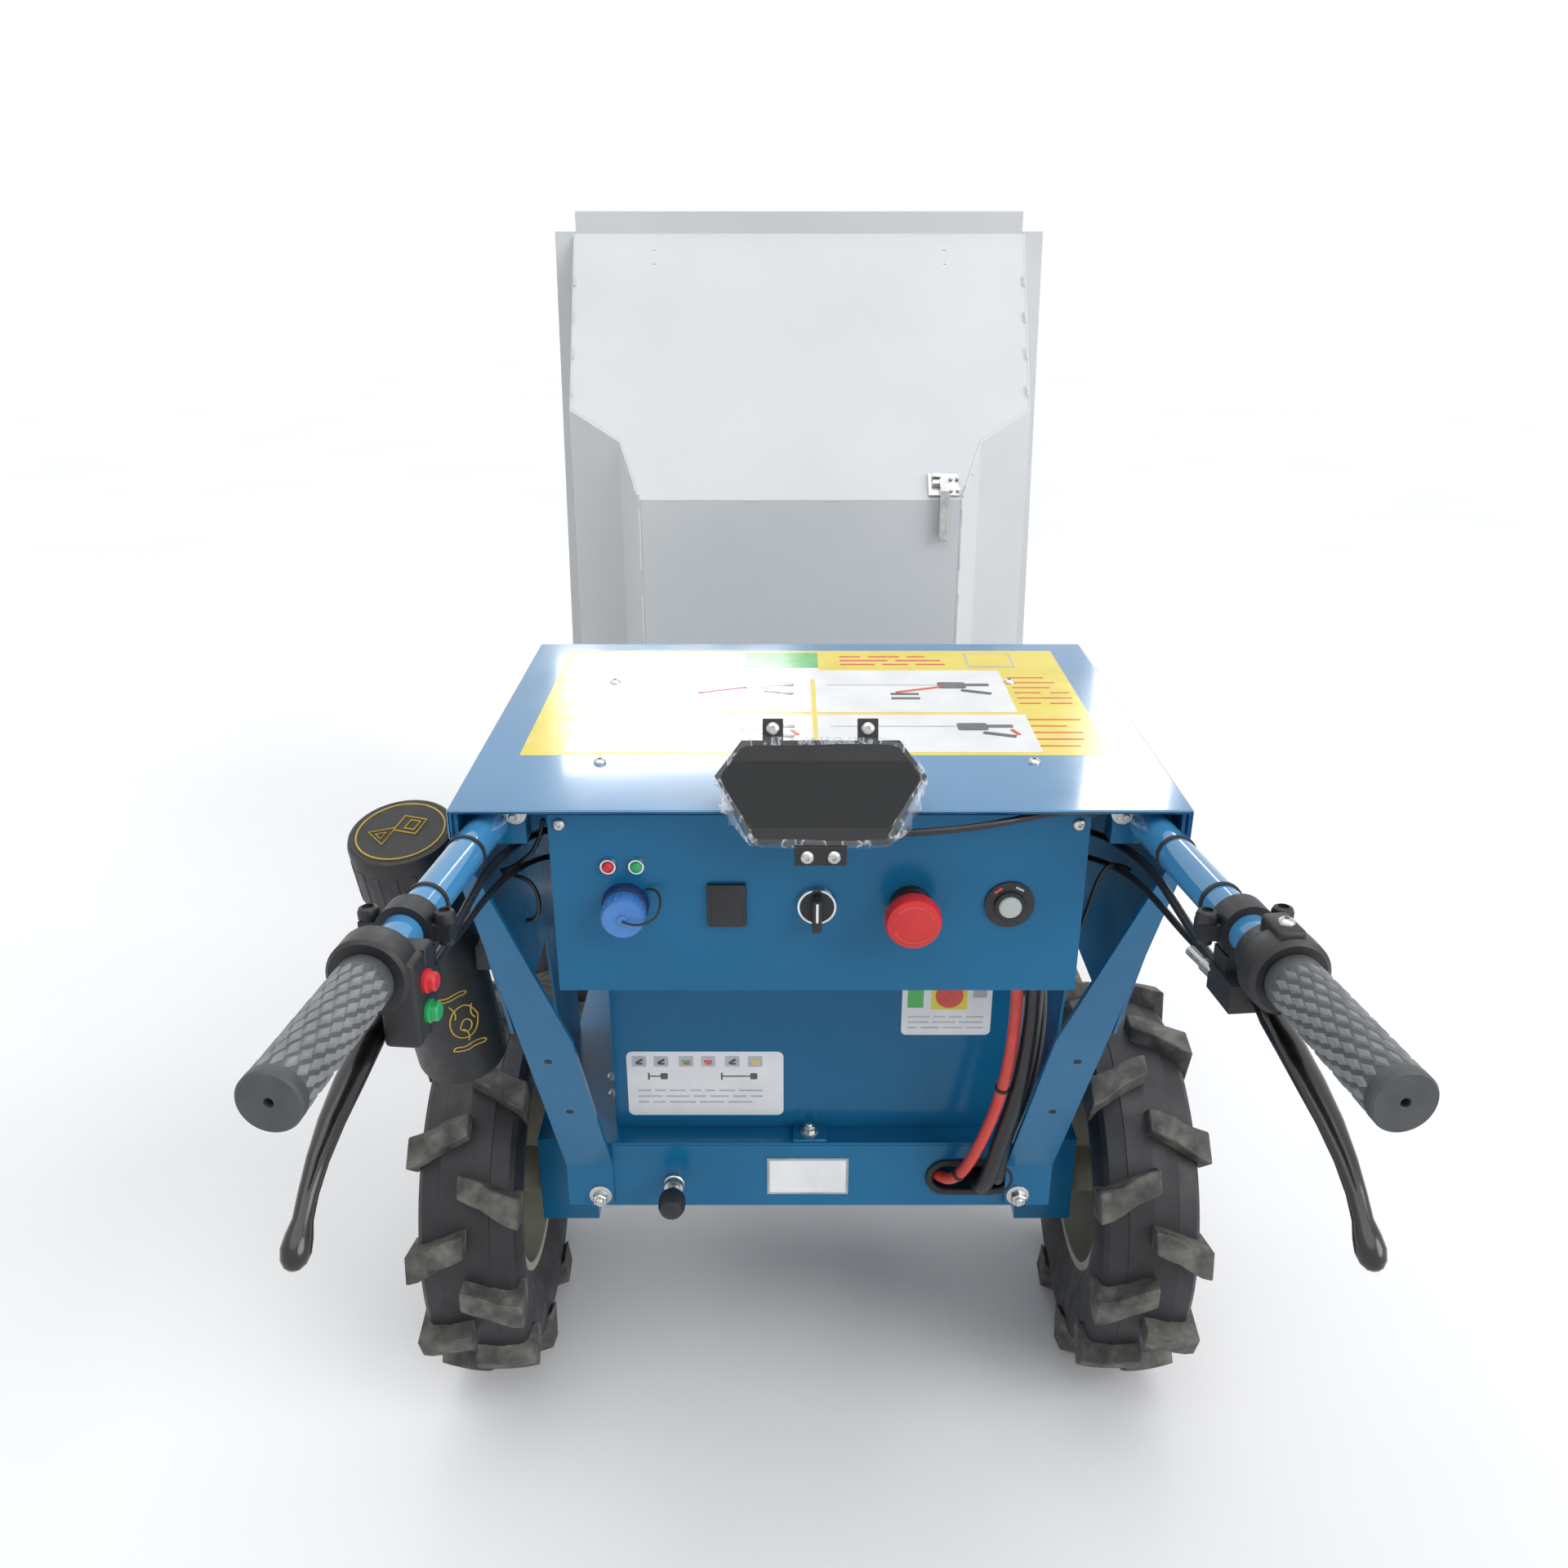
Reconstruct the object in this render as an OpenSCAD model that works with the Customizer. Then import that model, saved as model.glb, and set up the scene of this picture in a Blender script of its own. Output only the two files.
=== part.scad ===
// Electric walk-behind mini dumper with four driven wheels and a skip that tips forward.
// Stored with the skip tipped. X is to the right of the operator, Y forward, Z up.
// The origin is on the ground, under the middle of the whole machine.

/* [Wheels] */
// Diameter over the tread lugs
tyre_d = 415; // [380:1:450]
// Width of the tyre at its widest
tyre_w = 112; // [100:1:125]
// Diameter of the rim where the bead sits
rim_d = 203; // [190:1:215]
// Width of the rim between its flanges
rim_w = 66; // [56:1:76]
// Distance between the two axles
wheelbase = 600; // [540:5:720]
// Distance between the middles of a left and a right tyre
track_w = 672; // [660:2:760]
// Diameter of the wheel's stub shaft
stub_d = 30; // [20:1:36]
// Running gap round a shaft or a pin
run_gap = 0.05; // [0.02:0.01:0.1]

/* [Chassis] */
// Width over the two chassis rails
frame_w = 450; // [400:2:480]
// Width of one rail
rail_w = 45; // [36:1:54]
// Height of a rail and of the beams
rail_h = 72; // [60:1:86]
// Wall of the rails and beams
rail_t = 3; // [2:0.5:5]
// Underside of the rails above the ground
frame_z = 288; // [280:1:330]
// Rear face of the rear beam behind the rear axle
beam_back = 155; // [140:1:180]
// Depth of the beams
beam_d = 40; // [30:1:50]
// Sheet of the covers and plates
sheet_t = 3; // [2:0.5:4]

/* [Skip] */
// Angle from carried to fully tipped
tip_angle = 92; // [80:1:95]
// Pivot ahead of the front axle
pivot_ahead = 142.5; // [120:0.5:160]
// Pivot above the top of the rails
pivot_up = 95; // [85:1:115]
// Diameter of the pivot pins
pin_d = 20; // [16:1:24]
// Underside of the floor above the pivot
floor_up = 50; // [44:1:62]
// Length of the floor behind the pivot
floor_back = 339; // [300:1:360]
// Length of the floor ahead of the pivot
floor_ahead = 80; // [60:1:100]
// Lip ahead of the pivot
lip_ahead = 400; // [340:1:460]
// Lip above the floor
lip_rise = 230; // [190:1:280]
// Top of the rear wall behind the pivot
back_reach = 720; // [650:1:735]
// Top of the rear wall above the floor
back_rise = 331; // [300:1:400]
// Width of the floor
floor_w = 486; // [440:1:500]
// Width at the fold above the floor
fold_w = 552; // [510:1:560]
// Height of that fold above the floor
fold_rise = 67; // [56:1:80]
// Width at the outer fold
shelf_w = 710; // [680:1:720]
// Height of the outer fold above the floor
shelf_rise = 105; // [98:1:126]
// Width between the rims, over the side sheets
skip_w = 734; // [725:1:760]
// Width of the turned-out rims
rim_flange = 30; // [20:1:36]
// Thickness of the skip's sheet
skip_t = 3; // [2:0.5:4]

/* [Console] */
// Width of the top cover
cover_w = 507; // [480:1:540]
// Length of the top cover
cover_l = 385; // [340:1:420]
// Top of the cover above the ground
cover_z = 811; // [780:1:840]
// Depth of the cover's turned-down edge
skirt_h = 22; // [16:1:28]
// Width of the control panel
panel_w = 380; // [360:1:420]
// Height of the control panel
panel_h = 142; // [130:1:150]
// Row of controls below the top of the cover
controls_down = 84; // [76:1:96]
// Width of the battery box
box_w = 376; // [340:1:390]
// Length of the battery box
box_l = 270; // [230:1:300]
// Height of the battery box
box_h = 292; // [250:1:292]

/* [Handlebars] */
// Diameter of the handle tubes
tube_d = 25; // [22:0.5:28]
// Wall of the handle tubes
tube_t = 2; // [1.5:0.5:3]
// Diameter of a grip
grip_d = 33.5; // [32:0.5:38]
// Length of a grip
grip_l = 117; // [100:1:130]
// Ends of the grips below the top of the cover
grip_drop = 8; // [0:1:20]
// Distance between the ends of the grips
grip_span = 526; // [500:2:600]
// Ends of the grips behind the rear axle
grip_back = 687.5; // [620:0.5:760]

/* [Hidden] */
$fn = 48;

// Finishes
blue = [0.16, 0.40, 0.62];
skip_white = [0.86, 0.87, 0.86];
tyre_black = [0.13, 0.13, 0.14];
rim_cream = [0.80, 0.79, 0.72];
grip_grey = [0.42, 0.43, 0.43];
plastic = [0.07, 0.07, 0.08];
zinc = [0.72, 0.73, 0.74];
steel = [0.45, 0.46, 0.48];
rubber = [0.10, 0.10, 0.10];
bite = 1;

// Heights and places, with y counted from the rear axle
axle_z = tyre_d / 2;
front_axle_y = wheelbase;
rail_top = frame_z + rail_h;
rail_x = frame_w / 2 - rail_w / 2;
deck_top = rail_top + sheet_t;
pivot_y = front_axle_y + pivot_ahead;
pivot_z = rail_top + pivot_up;
rail_front = pivot_y + 17.5;
cover_under = cover_z - sheet_t;
cover_front = 10;
cover_rear = cover_front - cover_l;
panel_y = cover_rear + 24;
panel_top = cover_under - 11;
wall_x = cover_w / 2 - sheet_t - 0.5;
floor_z = pivot_z + floor_up;

// Where a handle tube passes under the cover's rear edge
tube_x = wall_x - sheet_t - tube_d / 2 - 1;
tube_z = cover_under - tube_d / 2 - 5.5;
grip_z = cover_z - grip_drop;

// Middle of the machine, from the rear grips to the tipped rear rim of the skip
back_end = [-back_reach - rim_flange, floor_up + back_rise];
front_most = pivot_y + back_end.x * cos(tip_angle) + back_end.y * sin(tip_angle);
grip_in = [(grip_span / 2 - tube_x), grip_back + cover_rear - bite, grip_z - tube_z];
grip_yaw = atan2(grip_in.x, grip_in.y);
grip_pitch = atan2(grip_in.z, norm([grip_in.x, grip_in.y]));
grip_tilt = acos(cos(grip_yaw) * cos(grip_pitch));
rear_most = -grip_back - grip_d / 2 * sin(grip_tilt);
rear_axle_y = -(front_most + rear_most) / 2;

// Shapes along the axes

module machine() {
    translate([0, rear_axle_y, 0]) children();
}

module box(low, high) {
    translate(low) cube(high - low);
}

// A flat outline in Y and Z, from x to x + length
module along_x(x, length) {
    translate([x, 0, 0]) rotate([90, 0, 90]) linear_extrude(length) children();
}

// A flat outline in X and Z, from y to y + length
module along_y(y, length) {
    translate([0, y + length, 0]) rotate([90, 0, 0]) linear_extrude(length) children();
}

// A cylinder along X, and one along Y
module x_rod(x, length, r) {
    translate([x, 0, 0]) rotate([0, 90, 0]) cylinder(h = length, r = r);
}

module y_rod(y, length, r) {
    translate([0, y, 0]) rotate([-90, 0, 0]) cylinder(h = length, r = r);
}

module on_side(side) {
    if (side < 0) mirror([1, 0, 0]) children();
    else children();
}

// A closed box section with a hollow middle
module hollow_beam(low, high, t) {
    difference() {
        box(low, high);
        box(low + [t, t, t], high - [t, t, t]);
    }
}

function unit(v) = v / norm(v);
function left_of(v) = [-v.y, v.x];
function reversed(p) = [for (i = [len(p) - 1:-1:0]) p[i]];
function mirrored(p) = [for (q = p) [-q.x, q.y]];

// An open line of points moved to its left by d, with mitred corners
function side_step(p, d) = [for (i = [0:len(p) - 1])
    let (last = len(p) - 1,
         a = left_of(unit(p[max(i, 1)] - p[max(i, 1) - 1])),
         b = left_of(unit(p[min(i + 1, last)] - p[min(i + 1, last) - 1])))
    p[i] + d * (a + b) / (1 + a * b)];

// A round cable through the points of its route, with one ring of sides at each point
function route_dir(p, i) = unit(p[min(i + 1, len(p) - 1)] - p[max(i - 1, 0)]);
function ring(p, i, r, sides, ref) =
    let (t = route_dir(p, i), u = unit(cross(t, ref)), v = cross(t, u))
    [for (k = [0:sides - 1]) p[i] + r * (cos(360 * k / sides) * u + sin(360 * k / sides) * v)];

module cable(p, r, sides = 10, ref = [1, 0, 0]) {
    rings = len(p);
    points = [for (i = [0:rings - 1]) each ring(p, i, r, sides, ref)];
    walls = [for (i = [0:rings - 2], k = [0:sides - 1])
        let (a = i * sides + k, b = i * sides + (k + 1) % sides)
        each [[a, a + sides, b], [b, a + sides, b + sides]]];
    start_cap = [for (k = [0:sides - 1]) k];
    end_cap = [for (k = [sides - 1:-1:0]) (rings - 1) * sides + k];
    polyhedron(points, concat(walls, [start_cap, end_cap]));
}

// Wheels

tyre_mid = tyre_d / 2 - 52;
tread_n = 2.6;
bead_rise = 11;
tyre_wall = 8;

function power_arc(w, h, n, from, to, steps) = [for (i = [0:steps])
    let (a = from + (to - from) * i / steps)
    [w * sign(cos(a)) * pow(abs(cos(a)), 2 / n), h * pow(abs(sin(a)), 2 / n)]];

// Half section of the tyre shell at one offset from its outside, as x and radius
function tyre_line(inset) =
    let (hw = tyre_w / 2 - inset, hr = tyre_d / 2 - tyre_mid - inset,
         bead = rim_w / 2 - inset / 2, low = rim_d / 2 + bead_rise,
         top = power_arc(hw, hr, tread_n, 0, 180, 20),
         side = [for (a = [0:22.5:67.5])
             [bead + (hw - bead) * sin(a), tyre_mid - (tyre_mid - low - inset) * cos(a)]])
    concat([[bead, rim_d / 2]], side, [for (q = top) [q.x, q.y + tyre_mid]],
        reversed(mirrored(side)), [[-bead, rim_d / 2]]);

module tyre() {
    color(tyre_black)
    rotate([0, 90, 0]) rotate_extrude()
    polygon([for (q = concat(tyre_line(0), reversed(tyre_line(tyre_wall)))) [q.y, q.x]]);
}

rim_t = 3;
rim_edge = 4;
hub_r = 24;
hub_out = 22;
mount_face = 285;
hub_in = track_w / 2 - mount_face - 5.5;
disc_x = 10;
disc_t = 4;

// Rim, disc, hub and stub shaft, with x towards the outside of the machine
module rim() {
    half = rim_w / 2;
    seat = rim_d / 2;
    color(rim_cream)
    rotate([0, 90, 0]) rotate_extrude()
    polygon([[seat, -half], [seat + bead_rise - 1, -half], [seat + bead_rise - 1, -half - rim_edge],
        [seat - rim_t, -half - rim_edge], [seat - rim_t, disc_x], [hub_r, disc_x], [hub_r, -hub_in],
        [stub_d / 2, -hub_in], [stub_d / 2, -hub_in - stub_in], [0, -hub_in - stub_in], [0, hub_out],
        [hub_r, hub_out], [hub_r, disc_x + disc_t], [seat - rim_t, disc_x + disc_t],
        [seat - rim_t, half + rim_edge], [seat + bead_rise - 1, half + rim_edge],
        [seat + bead_rise - 1, half], [seat, half]]);
}

module at_wheel(side, axle_y) {
    machine() on_side(side) translate([track_w / 2, axle_y, axle_z]) children();
}

module tyre_rear_left() { at_wheel(-1, 0) tyre(); }
module tyre_rear_right() { at_wheel(1, 0) tyre(); }
module tyre_front_left() { at_wheel(-1, front_axle_y) tyre(); }
module tyre_front_right() { at_wheel(1, front_axle_y) tyre(); }
module rim_rear_left() { at_wheel(-1, 0) rim(); }
module rim_rear_right() { at_wheel(1, 0) rim(); }
module rim_front_left() { at_wheel(-1, front_axle_y) rim(); }
module rim_front_right() { at_wheel(1, front_axle_y) rim(); }

// Bearing blocks outside the rails, with a neck up to the rail
mount_l = 100;
mount_up = 77.5;
mount_down = 27.5;
mount_depth = mount_face - frame_w / 2;
stub_in = mount_depth + 5.5 - 8;

module wheel_mounts(axle_y) {
    color(blue) machine() for (side = [-1, 1]) on_side(side)
    difference() {
        union() {
            box([frame_w / 2, axle_y - mount_l / 2, axle_z - mount_down],
                [mount_face, axle_y + mount_l / 2, axle_z + mount_up]);
            box([frame_w / 2, axle_y - mount_l / 2, axle_z + mount_up - bite],
                [frame_w / 2 + 10, axle_y + mount_l / 2, rail_top - 6]);
        }
        translate([0, axle_y, axle_z])
            x_rod(mount_face - mount_depth + 6, mount_depth, stub_d / 2 + run_gap);
    }
}

module rear_wheel_mounts() { wheel_mounts(0); }
module front_wheel_mounts() { wheel_mounts(front_axle_y); }

// Axle tubes across the chassis, with the gear case on the rear one
axle_tube_r = 26;
gear_r = 38;
gear_w = 120;
motor_y = 128;
motor_z = axle_z + 32;
motor_r = 62;
motor_l = 190;
case_x = 60;
case_w = 46;

module rear_axle() {
    color(steel) machine() {
        translate([0, 0, axle_z]) {
            x_rod(-frame_w / 2, frame_w, axle_tube_r);
            x_rod(-gear_w / 2, gear_w, gear_r);
        }
        along_x(case_x - bite, case_w) {
            polygon([[-8, axle_z - 30], [motor_y, motor_z - 36], [motor_y + 34, motor_z],
                [motor_y, motor_z + 36], [-8, axle_z + 40]]);
        }
    }
}

module drive_motor() {
    color(plastic) machine() translate([0, motor_y, motor_z])
        x_rod(case_x - bite - motor_l, motor_l, motor_r);
}

module front_axle() {
    color(steel) machine() translate([0, front_axle_y, axle_z]) {
        x_rod(-frame_w / 2, frame_w, axle_tube_r);
        x_rod(-gear_w / 2, gear_w, gear_r);
    }
}

// Chassis

module chassis_rail(side) {
    color(blue) machine() on_side(side)
    hollow_beam([frame_w / 2 - rail_w, beam_d - beam_back, frame_z],
        [frame_w / 2, rail_front, rail_top], rail_t);
}

module chassis_rail_left() { chassis_rail(-1); }
module chassis_rail_right() { chassis_rail(1); }

// Oval hole in the rear beam for the battery cables
cable_hole_x = [116, 196];
cable_hole_z = 323;
cable_hole_r = 17;

module rear_beam() {
    color(blue) machine()
    difference() {
        hollow_beam([-frame_w / 2, -beam_back, frame_z],
            [frame_w / 2, beam_d - beam_back, rail_top], rail_t);
        along_y(-beam_back - bite, rail_t + 2 * bite) {
            for (x = cable_hole_x + [cable_hole_r, -cable_hole_r])
                translate([x, cable_hole_z]) circle(cable_hole_r);
            translate([cable_hole_x[0] + cable_hole_r, cable_hole_z - cable_hole_r])
                square([cable_hole_x[1] - cable_hole_x[0] - 2 * cable_hole_r, 2 * cable_hole_r]);
        }
    }
}

module front_beam() {
    inner = frame_w / 2 - rail_w;
    color(blue) machine()
    hollow_beam([-inner, rail_front - beam_d, frame_z], [inner, rail_front, rail_top], rail_t);
}

deck_front = 150;
wing_back = 118;

module deck_plate() {
    w = frame_w / 2;
    color(blue) machine() translate([0, 0, rail_top]) linear_extrude(sheet_t)
    polygon([[-w, -beam_back], [w, -beam_back], [w, -wing_back], [wall_x, -wing_back],
        [wall_x, deck_front], [-wall_x, deck_front], [-wall_x, -wing_back], [-w, -wing_back]]);
}

// Frame under the rear of the carried skip, with two rubber pads
rest_y = pivot_y - floor_back + 2;
rest_d = 40;
pad_h = 30;
pad_gap = 5;
pad_x = 140;

module skip_rest() {
    pad_top = floor_z - pad_gap;
    bar_top = pad_top - pad_h;
    color(blue) machine() {
        for (side = [-1, 1]) on_side(side)
            box([frame_w / 2 - rail_w, rest_y, rail_top], [frame_w / 2, rest_y + rest_d, bar_top]);
        box([-frame_w / 2, rest_y, bar_top - 30], [frame_w / 2, rest_y + rest_d, bar_top]);
        for (x = [-pad_x, pad_x]) translate([x, rest_y + rest_d / 2, bar_top - bite])
            cylinder(h = pad_h + bite, r = 17);
    }
}

// Stops that hold the tipped skip, on the front face of the front beam
stop_x = 140;
stop_w = 36;

module tip_stops() {
    floor_tipped = pivot_y + floor_ahead * cos(tip_angle) + floor_up * sin(tip_angle);
    low = pivot_z - floor_ahead;
    color(rubber) machine() for (side = [-1, 1]) on_side(side)
        along_x(stop_x, stop_w)
        polygon([[rail_front, frame_z + 10], [rail_front + 8, frame_z + 10], [rail_front + 8, low],
            [floor_tipped - pad_gap, low + 4], [floor_tipped - pad_gap, low + 28],
            [rail_front, low + 28]]);
}

// Clevis plates on the rails, and the pins that the skip turns on
ear_t = 6;
ear_gap = 3;
ear_r = 24;
lug_t = 10;
ear_in = lug_t / 2 + ear_gap;

module pivot_brackets() {
    color(blue) machine() for (side = [-1, 1], ear = [-1, 1]) on_side(side)
        along_x(rail_x + (ear > 0 ? ear_in : -ear_in - ear_t), ear_t)
        difference() {
            union() {
                translate([pivot_y, pivot_z]) circle(ear_r);
                polygon([[pivot_y - ear_r, pivot_z], [pivot_y - 55, rail_top],
                    [rail_front, rail_top], [pivot_y + ear_r, pivot_z]]);
            }
            translate([pivot_y, pivot_z]) circle(pin_d / 2);
        }
}

module pivot_pins() {
    reach = ear_in + ear_t;
    color(zinc) machine() for (side = [-1, 1]) on_side(side)
        translate([rail_x, pivot_y, pivot_z]) {
            x_rod(-reach - bite, 2 * reach + 2 * bite, pin_d / 2);
            for (x = [-reach - 5, reach]) x_rod(x, 5, pin_d / 2 + 5);
        }
}

// Battery box on the deck, and the battery in it
box_rear = -130;
battery_gap = 18;

module battery_box() {
    low = [-box_w / 2, box_rear, deck_top];
    high = [box_w / 2, box_rear + box_l, deck_top + box_h];
    color(blue) machine()
    difference() {
        box(low, high);
        box(low + [2, 2, -bite], high - [2, 2, 2]);
    }
}

module battery() {
    color(plastic) machine()
    box([-box_w / 2 + battery_gap, box_rear + battery_gap, deck_top],
        [box_w / 2 - battery_gap, box_rear + box_l - battery_gap, deck_top + box_h * 0.72]);
}

// Console

controls_z = cover_z - controls_down;
console_w = panel_w - 10;
console_under = deck_top + box_h + 5;
hole_gap = 0.2;
socket_x = -138;
rocker_x = -65.5;
key_x = -1;
stop_button_x = 66;
reset_x = 137;
lamp_x = [-149, -129];
lamp_z = controls_z + 31;
socket_r = 13;
device_r = 11;
lamp_r = 4;
rocker_w = 26;
rocker_h = 32;

module console_box() {
    low = [-console_w / 2, panel_y + sheet_t, console_under];
    high = [console_w / 2, -20, cover_under];
    color(blue) machine()
    difference() {
        box(low, high);
        box(low + [2, -bite, 2], high - [2, 2, 2]);
    }
}

module control_panel() {
    color(blue) machine()
    difference() {
        box([-panel_w / 2, panel_y, panel_top - panel_h], [panel_w / 2, panel_y + sheet_t, panel_top]);
        translate([0, 0, controls_z]) {
            translate([socket_x, 0, 0]) y_rod(panel_y - bite, sheet_t + 2 * bite, socket_r + hole_gap);
            for (x = [key_x, stop_button_x, reset_x])
                translate([x, 0, 0]) y_rod(panel_y - bite, sheet_t + 2 * bite, device_r + hole_gap);
            box([rocker_x - rocker_w / 2 + 1, panel_y - bite, 1 - rocker_h / 2],
                [rocker_x + rocker_w / 2 - 1, panel_y + sheet_t + bite, rocker_h / 2 - 1]);
        }
        for (x = lamp_x) translate([x, 0, lamp_z])
            y_rod(panel_y - bite, sheet_t + 2 * bite, lamp_r + hole_gap);
    }
}

module cover() {
    w = cover_w / 2;
    color(blue) machine() {
        box([-w, cover_rear, cover_under], [w, cover_front, cover_z]);
        for (side = [-1, 1]) on_side(side)
            box([w - sheet_t, cover_rear, cover_z - skirt_h], [w, cover_front, cover_under + bite]);
        box([-w, cover_front - sheet_t, cover_z - skirt_h], [w, cover_front, cover_under + bite]);
    }
}

// Struts from the rear corners of the console down to the rear beam
strut_t = 4;
strut_top = [cover_rear + 7, cover_z - 56];
strut_foot = [-beam_back - strut_t - 0.5, rail_top - 20];
strut_run = strut_foot - strut_top;
strut_l = norm(strut_run);
strut_pitch = atan2(strut_run.y, strut_run.x);
foot_w = 44;
kink = 0.49;

module strut(side) {
    foot_out = frame_w / 2 + 9;
    color(blue) machine() on_side(side) {
        translate([0, strut_top.x, strut_top.y]) rotate([strut_pitch, 0, 0]) linear_extrude(strut_t)
        polygon([[cover_w / 2 - 13, -15], [cover_w / 2 - 2, -2], [foot_out, strut_l],
            [foot_out - foot_w, strut_l], [foot_out - foot_w + 10, strut_l * kink]]);
        box([foot_out - foot_w, -beam_back - strut_t, frame_z + 4],
            [foot_out, -beam_back, strut_foot.y + 2]);
    }
}

module strut_left() { strut(-1); }
module strut_right() { strut(1); }

// Side plates of the console, whose rear edge follows the strut and whose leg stands on the deck,
// each with two clamp blocks that hold the handle tube under the cover
side_under = 560;
clamp_block_y = [cover_rear + 28, cover_rear + 156];
clamp_block_l = 18;
clamp_block_low = tube_z - 17;
clamp_block_w = 44;
function strut_front_y(z) =
    strut_top.x + (z - strut_top.y) * strut_run.x / strut_run.y + strut_t * strut_l / -strut_run.y;

module side_plate(side) {
    top_z = strut_top.y + 15;
    color(blue)
    difference() {
        machine() on_side(side) {
            along_x(wall_x - sheet_t, sheet_t)
            polygon([[strut_front_y(top_z) + 0.2, cover_under], [cover_front - 10, cover_under],
                [40, deck_top], [-60, deck_top], [-100, side_under],
                [strut_front_y(side_under) + 0.2, side_under], [strut_front_y(top_z) + 0.2, top_z]]);
            for (y = clamp_block_y)
                box([wall_x - clamp_block_w, y, clamp_block_low],
                    [wall_x - bite, y + clamp_block_l, cover_under]);
        }
        at_grip(side) y_rod(0, grip_len + tube_l, tube_d / 2);
    }
}

module side_plate_left() { side_plate(-1); }
module side_plate_right() { side_plate(1); }

// Handlebars: a frame at the end of the right grip, with Y forward along the tube

grip_len = norm(grip_in);
tube_l = grip_len + 210;
pod_w = 22;
clamp_at = 172;
clamp_w = 18;
clamp_r = tube_d / 2 + 5;
ring_r = grip_d / 2 + 7;

module at_grip(side) {
    machine() on_side(side)
    translate([grip_span / 2, -grip_back, grip_z]) rotate([-grip_pitch, 0, grip_yaw]) children();
}

module handle(side) {
    color(blue) at_grip(side)
    difference() {
        y_rod(8, tube_l, tube_d / 2);
        y_rod(8 - bite, tube_l + 2 * bite, tube_d / 2 - tube_t);
    }
}

module handle_left() { handle(-1); }
module handle_right() { handle(1); }

module grip(side) {
    color(grip_grey) at_grip(side)
    difference() {
        y_rod(0, grip_l, grip_d / 2);
        y_rod(8, grip_l, tube_d / 2);
        y_rod(-bite, 10, 2.5);
    }
}

module grip_left() { grip(-1); }
module grip_right() { grip(1); }

module pod_ring(w) {
    difference() {
        children();
        y_rod(grip_l - bite, w + 2 * bite, tube_d / 2);
    }
}

pod_in = 26;

module switch_pod() {
    color(plastic) at_grip(-1) {
        pod_ring(40) {
            y_rod(grip_l, pod_w, ring_r);
            box([-pod_in, grip_l + 2, -44], [-5, grip_l + 36, 9]);
        }
        for (z = [-9, -28])
            box([-pod_in - 7, grip_l + 12, z - 6], [-pod_in + bite, grip_l + 24, z + 6]);
    }
}

module throttle_pod() {
    color(plastic) at_grip(1)
    pod_ring(40) {
        y_rod(grip_l, 34, ring_r);
        box([-8, grip_l + 4, 0], [8, grip_l + 30, ring_r + 4]);
    }
}

// Split clamps with a perch below, which carries the brake lever
perch_low = -44;
perch_high = -26;

module lever_clamps() {
    color(plastic) for (side = [-1, 1]) at_grip(side)
    difference() {
        union() {
            y_rod(clamp_at, clamp_w, clamp_r);
            box([-clamp_r - 10, clamp_at + 2, -5], [clamp_r + 10, clamp_at + clamp_w - 2, 5]);
            box([-12, clamp_at, perch_high - bite], [10, clamp_at + clamp_w, -clamp_r + 3]);
            box([-14, grip_l + 40, perch_low], [14, clamp_at + clamp_w, perch_high]);
        }
        y_rod(clamp_at - bite, clamp_w + 2 * bite, tube_d / 2);
    }
}

// Brake levers, one curved blade with a ball end
lever_root = [grip_l + 39.5, -36];
lever_mid = [62, -60];
lever_tip = [14, -96];
lever_t = 11;

module brake_lever(side) {
    line = [lever_root, [grip_l, -43], [90, -51], lever_mid, [34, -76], lever_tip];
    color(plastic) at_grip(side) {
        along_x(0, lever_t)
        polygon(concat(side_step(line, 5), reversed(side_step(line, -5))));
        translate([-1.5, lever_tip.x, lever_tip.y]) x_rod(0, lever_t + 3, 8);
    }
}

module brake_lever_left() { brake_lever(-1); }
module brake_lever_right() { brake_lever(1); }

// Display on the rear edge of the cover, leaning back
display_w = 142;
display_h = 70;
display_face = [cover_rear - 20, cover_z - 16];
display_lean = 65;

module display_outline() {
    w = display_w / 2;
    polygon([[-w + 25, 0], [w - 25, 0], [w - 20, 12], [w, 46], [w - 18, display_h],
        [-w + 18, display_h], [-w, 46], [-w + 20, 12]]);
}

module display() {
    color(plastic) machine() {
        translate([0, display_face.x, display_face.y]) rotate([display_lean, 0, 0]) {
            translate([0, 0, -8]) linear_extrude(8) display_outline();
            box([-45, 33, -22], [45, display_h - 6, -8 + bite]);
            for (x = [-32, 32]) difference() {
                box([x - 7, display_h - bite, -8], [x + 7, display_h + 15, -4]);
                translate([x, display_h + 8, -8 - bite]) cylinder(h = 4 + 2 * bite, r = 3);
            }
        }
        box([-17.5, display_face.x - 3, display_face.y - 14], [17.5, display_face.x + 4, display_face.y]);
        box([-17.5, display_face.x - 3, display_face.y - 14], [17.5, panel_y, display_face.y - 10]);
    }
}

// Controls on the panel, each with its body behind the panel

module panel_device(x, z) {
    machine() translate([x, panel_y, z]) children();
}

module charging_socket() {
    color([0.20, 0.42, 0.70]) panel_device(socket_x, controls_z) {
        y_rod(0, 34, socket_r);
        y_rod(-7, 7, 17);
        y_rod(-24, 17 + bite, 15.5);
    }
}

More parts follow.
